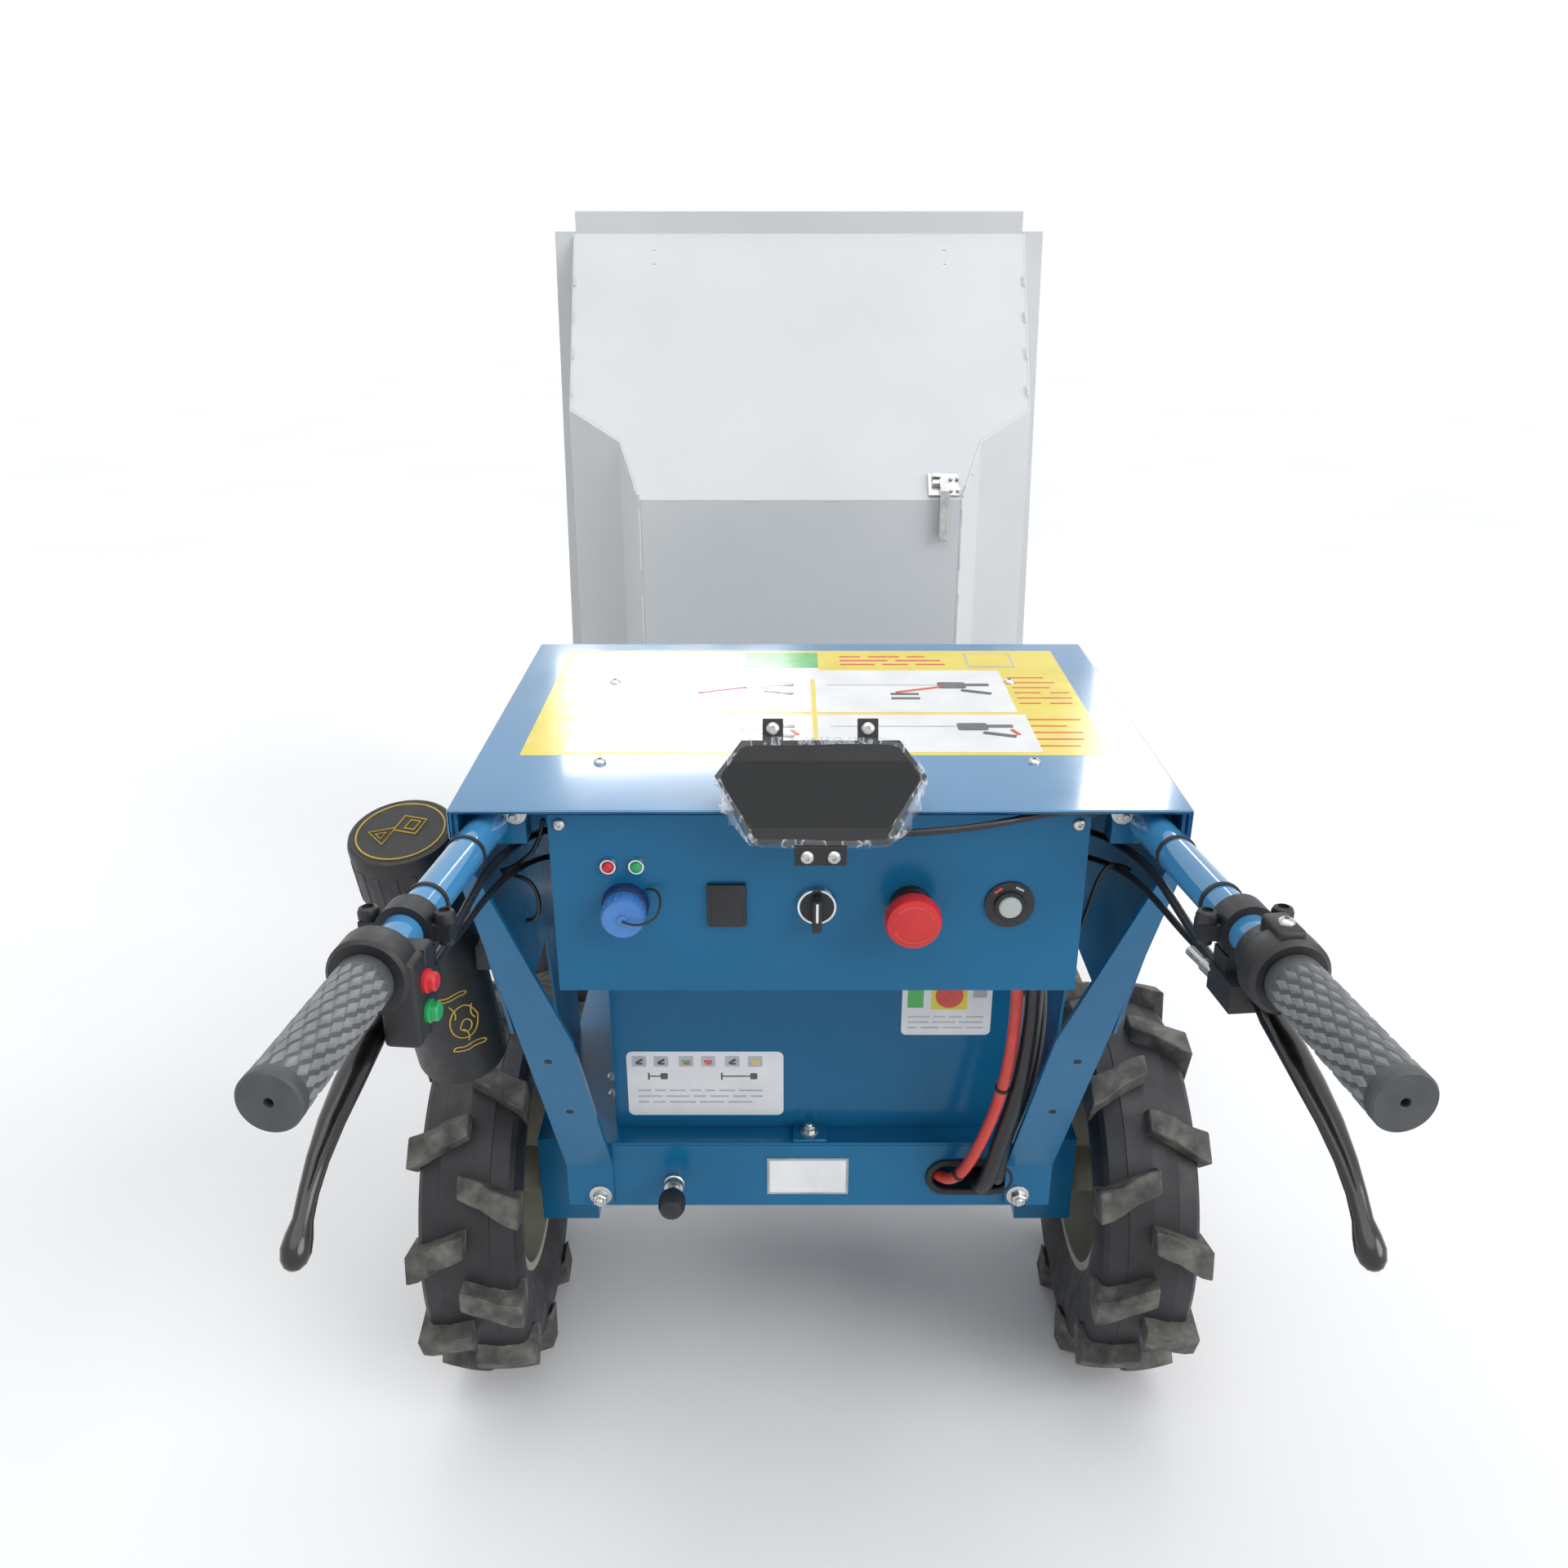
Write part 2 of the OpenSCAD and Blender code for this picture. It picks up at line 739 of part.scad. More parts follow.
module rocker_switch() {
    color(plastic) panel_device(rocker_x, controls_z) {
        box([-rocker_w / 2 - 1, -4, -rocker_h / 2 - 1], [rocker_w / 2 + 1, 0, rocker_h / 2 + 1]);
        box([1.2 - rocker_w / 2, -bite, 1.2 - rocker_h / 2], [rocker_w / 2 - 1.2, 26, rocker_h / 2 - 1.2]);
        along_x(-rocker_w / 2 + 4, rocker_w - 8)
            polygon([[-4 + bite, -12], [-8, -12], [-5, 0], [-6, 12], [-4 + bite, 12]]);
    }
}

module key_switch() {
    color(zinc) panel_device(key_x, controls_z) {
        y_rod(0, 40, device_r);
        y_rod(-5, 5, 14.75);
        box([-3.5, -17, -13], [3.5, -5 + bite, 13]);
    }
}

module emergency_stop() {
    color([0.80, 0.10, 0.10]) panel_device(stop_button_x, controls_z) {
        y_rod(0, 40, device_r);
        y_rod(-6, 6, 15);
        y_rod(-18, 12 + bite, 12);
        y_rod(-32, 14 + bite, 20);
    }
}

module reset_button() {
    color(plastic) panel_device(reset_x, controls_z) {
        y_rod(0, 34, device_r);
        y_rod(-5, 5, 18);
        y_rod(-7, 2 + bite, 8);
    }
}

module indicator_lamps() {
    color(zinc) for (x = lamp_x) panel_device(x, lamp_z) {
        y_rod(0, 22, lamp_r);
        y_rod(-3, 3, 6.5);
        y_rod(-6, 3 + bite, 4.5);
    }
}

module pull_knob() {
    color(plastic) machine() translate([-131, -beam_back, frame_z + 30]) {
        y_rod(-10, 10, 10);
        y_rod(-26, 16 + bite, 6);
        y_rod(-46, 22, 13);
    }
}

// Black tube for papers beside the console, held on the left side plate
paper_low = [-325, -145, 460];
paper_high = [-338, -210, 720];
paper_r = 41;
paper_wall = 2.5;
lid_r = 44;
lid_l = 56;
paper_run = paper_high - paper_low;
paper_len = norm(paper_run);

module along_paper_tube() {
    machine() translate(paper_low)
    rotate([0, acos(paper_run.z / paper_len), atan2(paper_run.y, paper_run.x)]) children();
}

module document_tube() {
    color(plastic) {
        difference() {
            union() {
                along_paper_tube() cylinder(h = paper_len - 6, r = paper_r);
                machine() box([paper_low.x + 12, -190, 575], [-wall_x, -166, 600]);
            }
            along_paper_tube() translate([0, 0, 4]) cylinder(h = paper_len, r = paper_r - paper_wall);
        }
    }
}

module document_tube_lid() {
    color(plastic) along_paper_tube()
    difference() {
        translate([0, 0, paper_len - lid_l]) cylinder(h = lid_l, r = lid_r);
        translate([0, 0, paper_len - lid_l - bite]) cylinder(h = lid_l - 6 + bite, r = paper_r);
    }
}

// Battery cables from the console down into the rear beam. Each point is x, its distance ahead
// of the struts, and its share of the height from the hole up to the console. The start is straight.
cable_fall = console_under - cable_hole_z;
straight_from = 0.9644;
red_route = [[158, 41.8, 1], [158, 41.8, straight_from], [162, 39.7, 0.911], [169, 36.6, 0.816],
    [173, 29, 0.6588], [174, 19.4, 0.4955], [168, 3.8, 0.3323], [157, -10.9, 0.1869],
    [147, -18.9, 0.0861], [137, -19.5, 0.0297], [128, -11, 0.003], [118, 5, -0.0089]];
thick_black_route = [[175.5, 45.8, 1], [175.5, 45.8, straight_from], [179, 44.7, 0.911],
    [184, 40.6, 0.816], [189, 32.5, 0.6439], [189, 19.4, 0.4659], [183, 4.2, 0.3175],
    [175, -12.4, 0.184], [169, -26, 0.0801], [165, -27, 0.0148], [163, -15, -0.0089],
    [161, 6, -0.0148]];
thin_black_route = [[178, 73.8, 1], [178, 73.8, straight_from], [184, 68.7, 0.911], [191, 62.6, 0.816],
    [200, 50.5, 0.6439], [201, 34.4, 0.4659], [195, 19.2, 0.3175], [183, 1.6, 0.184],
    [181, -13, 0.0801], [181, -17, 0.0267], [181, -12, -0.003], [180, 6, -0.0148]];

function drop(share) = cable_hole_z + share * cable_fall;
function hung(p) = [for (q = p) [q.x, strut_front_y(drop(min(q.z, straight_from))) + q.y, drop(q.z)]];

module red_cable() { color([0.85, 0.15, 0.10]) machine() cable(hung(red_route), 5.4); }
module black_cables() {
    color(rubber) machine() {
        cable(hung(thick_black_route), 8);
        cable(hung(thin_black_route), 6);
    }
}

// Brake, throttle and switch cables from the lever perches to the console, and the display's
// lead, with their points counted from the rear top edge of the cover
right_brake_route = [[236, -124, -45], [235, -95, -48], [232, -55, -45], [228, -15, -41],
    [222, 25, -44], [215, 65, -51], [207, 95, -59], [198, 107, -62], [185.4, 109, -63]];
right_throttle_route = [[247, -124, -53], [243, -95, -60], [236, -55, -61], [229, -15, -59],
    [221, 25, -61], [212, 60, -68], [204, 83, -75], [196, 91, -78], [185.4, 92, -79]];
display_route = [[30, -6, -14], [45, -6, -14], [62, -6, -13.5], [80, -5.5, -12.5], [100, -4, -11],
    [120, 0, -9.5], [140, 8, -9], [160, 16, -9], [176, 20, -9], [192, 21, -12]];

function from_edge(p) = [for (q = p) q + [0, cover_rear, cover_z]];

module control_cables() {
    color(rubber) machine() {
        for (side = [-1, 1]) on_side(side) {
            cable(from_edge(right_brake_route), 3, 8, [0, 0, 1]);
            cable(from_edge(right_throttle_route), 2.5, 8, [0, 0, 1]);
        }
        cable(from_edge(display_route), 2.5, 8, [0, 0, 1]);
    }
}

// Skip, modelled as carried, with its pivot at the origin

half_section = [[floor_w / 2, 0], [fold_w / 2, fold_rise], [shelf_w / 2, shelf_rise],
    [skip_w / 2, back_rise]];
section_down = unit(half_section[0] - half_section[1]);
section_up = unit(half_section[3] - half_section[2]);
tall_section = concat([half_section[0] + 12 * section_down], [half_section[1]], [half_section[2]],
    [half_section[3] + 20 * section_up]);
raised_section = [for (q = tall_section) q + [0, floor_up]];
inner_section = side_step(raised_section, skip_t);
// Rear wall top, rear and front of the floor, and lip
profile = [[-back_reach, floor_up + back_rise], [-floor_back, floor_up], [floor_ahead, floor_up],
    [lip_ahead, floor_up + lip_rise]];
inner_profile = side_step(profile, skip_t);
rim_line = [profile[0], profile[3]];

module skip_frame() {
    machine() translate([0, pivot_y, pivot_z]) rotate([-tip_angle, 0, 0]) children();
}

module inside_of_sides() {
    along_y(-2 * back_reach, 4 * back_reach)
        polygon(concat(inner_section, reversed(mirrored(inner_section))));
}

module within_rims() {
    along_x(-skip_w, 2 * skip_w) polygon(profile);
}

module skip_sheet(i) {
    intersection() {
        inside_of_sides();
        within_rims();
        along_x(-skip_w, 2 * skip_w)
            polygon([profile[i], profile[i + 1], inner_profile[i + 1], inner_profile[i]]);
    }
}

module skip_floor() { color(skip_white) skip_frame() skip_sheet(1); }
module skip_front() { color(skip_white) skip_frame() skip_sheet(2); }

// Pairs of holes near the top of the rear wall
wall_dir = unit(profile[1] - profile[0]);
wall_slope = atan2(wall_dir.y, wall_dir.x);
hole_x = 234;
hole_down = 40;
hole_pitch = 28;
hole_r = 3;

module skip_rear_wall() {
    flange_w = skip_w / 2 - 4;
    flange_root = profile[0] - skip_t / wall_dir.y * wall_dir;
    rim_dir = unit(rim_line[1] - rim_line[0]);
    color(skip_white) skip_frame()
    difference() {
        union() {
            skip_sheet(0);
            along_x(-flange_w, 2 * flange_w)
                polygon([profile[0] - [rim_flange, 0], profile[0] - [rim_flange, skip_t],
                    flange_root, flange_root + bite * left_of(wall_dir), profile[0] + bite * rim_dir,
                    profile[0]]);
        }
        for (x = [-hole_x, hole_x], n = [0, 1])
            translate([x, profile[0].x, profile[0].y]) rotate([wall_slope, 0, 0])
            translate([0, hole_down + n * hole_pitch, -skip_t])
                cylinder(h = 3 * skip_t, r = hole_r);
    }
}

module skip_side(side) {
    rim = side_step(rim_line, -skip_t);
    color(skip_white) skip_frame() on_side(side) {
        intersection() {
            along_y(-2 * back_reach, 4 * back_reach)
                polygon(concat(raised_section, reversed(inner_section)));
            within_rims();
        }
        difference() {
            along_x(fold_w / 2, skip_w / 2 + rim_flange - fold_w / 2)
                polygon([rim_line[0], rim[0], rim[1], rim_line[1]]);
            inside_of_sides();
        }
    }
}

module skip_side_left() { skip_side(-1); }
module skip_side_right() { skip_side(1); }

// Hinge lugs welded under the floor
module skip_hinges() {
    color(skip_white) skip_frame() for (side = [-1, 1]) on_side(side)
        along_x(rail_x - lug_t / 2, lug_t)
        difference() {
            union() {
                circle(22);
                polygon([[-22, 0], [-45, floor_up], [floor_ahead - 8, floor_up], [22, 0], [0, -10]]);
            }
            circle(pin_d / 2 + run_gap);
        }
}

// Latch on the lower edge of the rear wall, with its lever below the floor
latch_x = 196;
latch_w = 46;
latch_t = 4;
lever_gap = 6;
lever_reach = 58;

module skip_latch() {
    wall_out = -latch_t * left_of(wall_dir);
    up = -wall_dir;
    e = profile[1];
    color(zinc) skip_frame() {
        along_x(latch_x - 4, latch_w)
            polygon([e + 6 * up, e + 44 * up, e + 44 * up + wall_out, e + 6 * up + wall_out]);
        along_x(latch_x + 12, 14)
            polygon([e + 30 * up + wall_out, e + 30 * up + 3 * wall_out,
                e + [-16, -lever_gap - 8], e + [lever_reach, -lever_gap - 8],
                e + [lever_reach, -lever_gap], e + [-8, -lever_gap], e + 12 * up + wall_out]);
    }
}

chassis_rail_left();
chassis_rail_right();
rear_beam();
front_beam();
deck_plate();
skip_rest();
tip_stops();
pivot_brackets();
pivot_pins();
rear_wheel_mounts();
front_wheel_mounts();
rear_axle();
drive_motor();
front_axle();
battery_box();
battery();
console_box();
control_panel();
cover();
side_plate_left();
side_plate_right();
strut_left();
strut_right();
handle_left();
handle_right();
grip_left();
grip_right();
switch_pod();
throttle_pod();
lever_clamps();
brake_lever_left();
brake_lever_right();
display();
charging_socket();
rocker_switch();
key_switch();
emergency_stop();
reset_button();
indicator_lamps();
pull_knob();
document_tube();
document_tube_lid();
red_cable();
black_cables();
control_cables();
tyre_rear_left();
tyre_rear_right();
tyre_front_left();
tyre_front_right();
rim_rear_left();
rim_rear_right();
rim_front_left();
rim_front_right();
skip_floor();
skip_front();
skip_rear_wall();
skip_side_left();
skip_side_right();
skip_hinges();
skip_latch();
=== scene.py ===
import math
import random

import bmesh
import bpy
from mathutils import Matrix, Vector


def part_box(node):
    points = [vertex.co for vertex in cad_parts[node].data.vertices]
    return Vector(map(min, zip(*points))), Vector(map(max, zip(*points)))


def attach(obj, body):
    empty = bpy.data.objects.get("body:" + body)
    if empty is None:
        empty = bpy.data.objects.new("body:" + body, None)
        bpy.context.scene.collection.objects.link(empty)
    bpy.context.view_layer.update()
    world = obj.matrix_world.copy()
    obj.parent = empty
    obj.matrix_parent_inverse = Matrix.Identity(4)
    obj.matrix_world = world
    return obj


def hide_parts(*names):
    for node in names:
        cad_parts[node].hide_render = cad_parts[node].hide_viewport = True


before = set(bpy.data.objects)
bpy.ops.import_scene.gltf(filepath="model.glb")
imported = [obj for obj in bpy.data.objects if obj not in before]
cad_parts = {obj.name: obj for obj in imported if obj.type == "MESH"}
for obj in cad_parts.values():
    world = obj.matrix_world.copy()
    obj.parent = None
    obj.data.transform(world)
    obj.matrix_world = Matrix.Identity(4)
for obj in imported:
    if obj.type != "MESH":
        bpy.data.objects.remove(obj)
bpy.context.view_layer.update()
random.seed(4)

# Studio: the camera, a pale floor out to the horizon, a broad soft light overhead, a softer one
# from the right and behind, and two window-like lights in front, whose reflections lie on the
# glossy top cover.
camera_data = bpy.data.cameras.new("camera")
camera_data.lens = 30.53
camera_data.sensor_width = 36.0
camera = bpy.data.objects.new("camera", camera_data)
bpy.context.scene.collection.objects.link(camera)
camera.location = (-0.0245, -1.4256, 1.179)
camera.rotation_euler = (math.radians(67.0), 0.0, 0.0)
bpy.context.scene.camera = camera


def seen(red, green, blue):
    """A colour as it's seen, 0 to 255 each, in the linear values that a shader takes."""
    shares = [c / 255 for c in (red, green, blue)]
    return tuple(s / 12.92 if s < 0.04 else ((s + 0.055) / 1.055) ** 2.4 for s in shares) + (1.0,)


def noise(tree, scale, detail=3.0, stretch=(1.0, 1.0, 1.0)):
    """A noise pattern fixed to the object, with its scale in cells for each metre."""
    place = tree.nodes.new("ShaderNodeTexCoord")
    turn = tree.nodes.new("ShaderNodeMapping")
    turn.inputs["Scale"].default_value = stretch
    cloud = tree.nodes.new("ShaderNodeTexNoise")
    cloud.inputs["Scale"].default_value = scale
    cloud.inputs["Detail"].default_value = detail
    tree.links.new(place.outputs["Object"], turn.inputs["Vector"])
    tree.links.new(turn.outputs["Vector"], cloud.inputs["Vector"])
    return cloud.outputs["Fac"]


def ramp(tree, source, stops):
    """Colours along a pattern: each stop is a place from 0 to 1 and a colour."""
    node = tree.nodes.new("ShaderNodeValToRGB")
    node.color_ramp.elements[0].position, node.color_ramp.elements[0].color = stops[0]
    node.color_ramp.elements[1].position, node.color_ramp.elements[1].color = stops[-1]
    for position, colour in stops[1:-1]:
        node.color_ramp.elements.new(position).color = colour
    tree.links.new(source, node.inputs["Fac"])
    return node.outputs["Color"]


def spread(tree, source, low, high):
    """A pattern's middle half stretched to run from low to high."""
    node = tree.nodes.new("ShaderNodeMapRange")
    for socket, value in zip(("From Min", "From Max", "To Min", "To Max"), (0.3, 0.7, low, high)):
        node.inputs[socket].default_value = value
    tree.links.new(source, node.inputs["Value"])
    return node.outputs["Result"]


def finish(name, stops, rough, patch=6.0, grain=500.0, bump=0.15, depth=0.0003, metal=0.0, coat=0.0,
           stretch=(1.0, 1.0, 1.0), ior=1.5):
    """A surface finish with cloudy colour, uneven gloss and a fine grain."""
    material = bpy.data.materials.new(name)
    material.use_nodes = True
    tree = material.node_tree
    shader = tree.nodes["Principled BSDF"]
    shader.inputs["Metallic"].default_value = metal
    shader.inputs["IOR"].default_value = ior
    shader.inputs["Coat Weight"].default_value = coat
    shader.inputs["Coat Roughness"].default_value = 0.06
    clouds = noise(tree, patch, 5.0)
    colour = ramp(tree, clouds, stops)
    tree.links.new(colour, shader.inputs["Base Color"])
    tree.links.new(spread(tree, noise(tree, patch * 3, 4.0, stretch), rough[0], rough[1]),
                   shader.inputs["Roughness"])
    relief = tree.nodes.new("ShaderNodeBump")
    relief.inputs["Strength"].default_value = bump
    relief.inputs["Distance"].default_value = depth
    tree.links.new(noise(tree, grain, 2.0, stretch), relief.inputs["Height"])
    tree.links.new(relief.outputs["Normal"], shader.inputs["Normal"])
    return material


def two_tone(dark, light):
    """The two stops of a cloudy colour."""
    return [(0.35, seen(*dark)), (0.65, seen(*light))]


world = bpy.data.worlds.new("studio")
bpy.context.scene.world = world
world.use_nodes = True
sky = world.node_tree
ambient = sky.nodes["Background"]
ambient.inputs["Color"].default_value = (0.95, 0.97, 1.0, 1.0)
ambient.inputs["Strength"].default_value = 0.36
backdrop = sky.nodes.new("ShaderNodeBackground")
backdrop.inputs["Color"].default_value = (1.0, 1.0, 1.0, 1.0)
backdrop.inputs["Strength"].default_value = 1.02
rays = sky.nodes.new("ShaderNodeLightPath")
bright = sky.nodes.new("ShaderNodeMath")
bright.operation = "MAXIMUM"
sky.links.new(rays.outputs["Is Camera Ray"], bright.inputs[0])
sky.links.new(rays.outputs["Is Glossy Ray"], bright.inputs[1])
chosen = sky.nodes.new("ShaderNodeMixShader")
sky.links.new(bright.outputs["Value"], chosen.inputs["Fac"])
sky.links.new(ambient.outputs["Background"], chosen.inputs[1])
sky.links.new(backdrop.outputs["Background"], chosen.inputs[2])
sky.links.new(chosen.outputs["Shader"], sky.nodes["World Output"].inputs["Surface"])
bpy.context.scene.view_settings.view_transform = "Standard"

floor_bm = bmesh.new()
bmesh.ops.create_circle(floor_bm, cap_ends=True, segments=96, radius=400.0)
floor_mesh = bpy.data.meshes.new("floor")
floor_bm.to_mesh(floor_mesh)
floor_bm.free()
floor = bpy.data.objects.new("floor", floor_mesh)
bpy.context.scene.collection.objects.link(floor)
floor.data.materials.append(finish("pale floor", two_tone((244, 245, 246), (249, 249, 250)),
                                   (0.75, 0.85), patch=1.5, grain=80, bump=0.03))


def add_light(kind, name, place, target, power):
    """A white light that points from its place at a target."""
    lamp = bpy.data.lights.new(name, kind)
    lamp.energy = power
    holder = bpy.data.objects.new(name, lamp)
    bpy.context.scene.collection.objects.link(holder)
    holder.location = place
    holder.rotation_euler = (Vector(target) - Vector(place)).to_track_quat("-Z", "Y").to_euler()
    return lamp


add_light("SUN", "overhead", (-0.4, -0.5, 4.0), (0.0, 0.0, 0.4), 1.5).angle = math.radians(70)
add_light("SUN", "side", (3.0, -1.8, 1.95), (0.0, 0.0, 0.0), 1.62).angle = math.radians(40)
for name, place, width, height, power in (("window_left", (-0.42, 3.2, 2.12), 0.85, 0.42, 8.5),
                                          ("window_right", (1.27, 3.2, 2.32), 0.32, 0.95, 6.0)):
    window_light = add_light("AREA", name, place, (0.0, -0.45, 0.81), power)
    window_light.shape = "RECTANGLE"
    window_light.size = width
    window_light.size_y = height

# Chassis: two steel box rails joined by a beam at each end, with a deck plate on top. It is welded
# and powder-coated blue, and every folded or sawn edge has a small radius.

MM = 0.001
tyre_low, tyre_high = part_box("tyre_rear_left")
AXLE_Y = (tyre_low.y + tyre_high.y) / 2
FROM_AXLE = Matrix.Translation((0, AXLE_Y, 0)) @ Matrix.Scale(MM, 4)
WHEELBASE = 600

blue_paint = finish("blue paint", two_tone((20, 97, 139), (25, 105, 148)), (0.14, 0.24), patch=5,
                    grain=260, bump=0.08, depth=0.0003, ior=1.34)
black_plastic = finish("black plastic", two_tone((24, 25, 27), (31, 32, 34)), (0.42, 0.55),
                       patch=30, grain=1500, bump=0.25)
zinc = finish("zinc plate", two_tone((176, 178, 178), (206, 206, 202)), (0.22, 0.42), patch=60,
              grain=900, metal=1.0)
cast_grey = finish("cast grey", two_tone((98, 103, 106), (122, 126, 128)), (0.5, 0.65), patch=20,
                   grain=420, bump=0.4, depth=0.0008)


def add_piece(name, bm, materials, body="chassis", stands_for=(), scaled=False, crease=38):
    """Makes a piece of a bmesh drawn in millimetres from the rear axle, and puts it on its body."""
    if not scaled:
        bmesh.ops.transform(bm, matrix=FROM_AXLE, verts=bm.verts)
    bmesh.ops.recalc_face_normals(bm, faces=bm.faces)
    for face in bm.faces:
        face.smooth = True
    for edge in bm.edges:
        edge.smooth = edge.is_manifold and edge.calc_face_angle(0) < math.radians(crease)
    mesh = bpy.data.meshes.new(name)
    bm.to_mesh(mesh)
    bm.free()
    made = bpy.data.objects.new(name, mesh)
    bpy.context.scene.collection.objects.link(made)
    for material in materials:
        made.data.materials.append(material)
    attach(made, body)
    if stands_for:
        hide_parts(*stands_for)
    return made


def soften(node, material, width=1.0, segments=2, body="chassis"):
    """The same shape as a CAD node with its edges rounded."""
    bm = bmesh.new()
    bm.from_mesh(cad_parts[node].data)
    bmesh.ops.remove_doubles(bm, verts=bm.verts, dist=1e-5)
    bmesh.ops.dissolve_limit(bm, angle_limit=math.radians(0.5), verts=bm.verts, edges=bm.edges)
    made = add_piece(node + "_look", bm, [material], body, (node,), scaled=True, crease=30)
    rounding = made.modifiers.new("edges", "BEVEL")
    rounding.width = width * MM
    rounding.segments = segments
    rounding.limit_method = "ANGLE"
    rounding.angle_limit = math.radians(32)
    rounding.harden_normals = True
    rounding.use_clamp_overlap = True
    return made


def pour(bm, part, place=Matrix(), slot=0):
    """Adds a finished shape to a piece, in its place and with its material."""
    for face in part.faces:
        face.material_index = slot
    bmesh.ops.transform(part, matrix=place, verts=part.verts)
    mesh = bpy.data.meshes.new("part")
    part.to_mesh(mesh)
    part.free()
    bm.from_mesh(mesh)
    bpy.data.meshes.remove(mesh)


def round_edges(part, edges, offset, segments):
    """Rounds some edges of a shape."""
    bmesh.ops.bevel(part, geom=list(edges), offset=offset, segments=segments, profile=0.5,
                    affect="EDGES", material=-1)


def block(bm, low, high, bevel=0.0, segments=2, slot=0, place=Matrix()):
    """A box between two corners, with rounded edges."""
    low, high = Vector(low), Vector(high)
    size = Matrix.Diagonal((*(high - low), 1))
    part = bmesh.new()
    bmesh.ops.create_cube(part, size=1.0, matrix=Matrix.Translation((low + high) / 2) @ size)
    if bevel:
        round_edges(part, part.edges, bevel, segments)
    pour(bm, part, place, slot)


def turned(bm, outline, place=Matrix(), steps=40, slot=0):
    """A shape turned on a lathe: its outline is radius and height, and it turns about Z."""
    part = bmesh.new()
    points = [part.verts.new((r, 0, h)) for r, h in outline]
    edges = [part.edges.new(pair) for pair in zip(points, points[1:])]
    bmesh.ops.spin(part, geom=points + edges, cent=(0, 0, 0), axis=(0, 0, 1), dvec=(0, 0, 0),
                   angle=2 * math.pi, steps=steps, use_merge=True)
    bmesh.ops.remove_doubles(part, verts=part.verts, dist=1e-4)
    pour(bm, part, place, slot)


def facing(point, direction):
    """A place whose Z axis points along a direction, with X level where it can be."""
    z = Vector(direction).normalized()
    x = Vector((0, 0, 1)).cross(z)
    x = x.normalized() if x.length > 1e-6 else Vector((1, 0, 0))
    turn = Matrix((x, z.cross(x), z)).transposed().to_4x4()
    return Matrix.Translation(point) @ turn


def hex_bolt(bm, point, direction, across=10.0, slot=0, washer=True):
    """A hexagon head on a washer, with the end of its thread showing."""
    place = facing(point, direction)
    if washer:
        turned(bm, [(0, 0), (across * 0.85, 0), (across * 0.85, 1.2), (across * 0.8, 1.6),
                    (0, 1.6)],
               place, 24, slot)
    part = bmesh.new()
    bmesh.ops.create_cone(part, cap_ends=True, segments=6, radius1=across * 0.577,
                          radius2=across * 0.577, depth=across * 0.6)
    top = {e for f in part.faces if f.normal.z > 0.9 for e in f.edges}
    round_edges(part, top, across * 0.07, 1)
    pour(bm, part, place @ Matrix.Translation((0, 0, 1.6 + across * 0.3)), slot)
    turned(bm, [(0, across * 0.6), (across * 0.3, across * 0.6), (across * 0.3, across * 0.85),
                (across * 0.22, across * 0.95), (0, across * 0.95)], place, 16, slot)


for node, width in (("chassis_rail_left", 2.0), ("chassis_rail_right", 2.0), ("rear_beam", 2.0),
                    ("front_beam", 2.0), ("deck_plate", 0.8), ("skip_rest", 2.0),
                    ("pivot_brackets", 1.0), ("rear_wheel_mounts", 2.0),
                    ("front_wheel_mounts", 2.0)):
    soften(node, blue_paint, width)
soften("rear_axle", cast_grey, 1.5)
soften("front_axle", cast_grey, 1.5)
soften("pivot_pins", zinc, 0.8)
soften("tip_stops", black_plastic, 1.5)

motor_bm = bmesh.new()
motor_low, motor_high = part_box("drive_motor")
motor_r = (motor_high.z - motor_low.z) / 2 / MM
motor_l = (motor_high.x - motor_low.x) / MM
fin = [(motor_r if i % 2 else motor_r - 3, 16 + i * 4 + step)
       for i in range(36) for step in (0, 3.4)]
motor_place = (Matrix.Translation((motor_low.x / MM,
                                   ((motor_low.y + motor_high.y) / 2 - AXLE_Y) / MM,
                                   (motor_low.z + motor_high.z) / 2 / MM))
               @ Matrix.Rotation(math.pi / 2, 4, "Y"))
turned(motor_bm, [(0, 0), (motor_r - 12, 0), (motor_r - 3, 7), (motor_r - 3, 14)] + fin
       + [(motor_r - 3, motor_l - 14), (motor_r, motor_l - 10), (motor_r, motor_l), (0, motor_l)],
       motor_place, 48)
add_piece("drive_motor_finned", motor_bm, [black_plastic],
          stands_for=("drive_motor",))

# Chassis trim: the bolts through the struts' feet, a blank rating plate, the rubber grommet round
# the cable hole and the pull knob with its zinc collar.

label_white = finish("label white", two_tone((226, 228, 230), (238, 240, 241)), (0.12, 0.2),
                     patch=25, grain=900, bump=0.05)
label_grey = finish("label grey", two_tone((150, 158, 160), (172, 180, 181)), (0.3, 0.4), patch=40,
                    grain=900, bump=0.05)
soft_rubber = finish("soft rubber", two_tone((20, 20, 22), (28, 28, 30)), (0.55, 0.7), patch=40,
                     grain=700, bump=0.3)
beam_back = (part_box("rear_beam")[0].y - AXLE_Y) / MM
HOLE_X, HOLE_Z, HOLE_R, HOLE_HALF = 156.0, 323.0, 17.0, 40.0


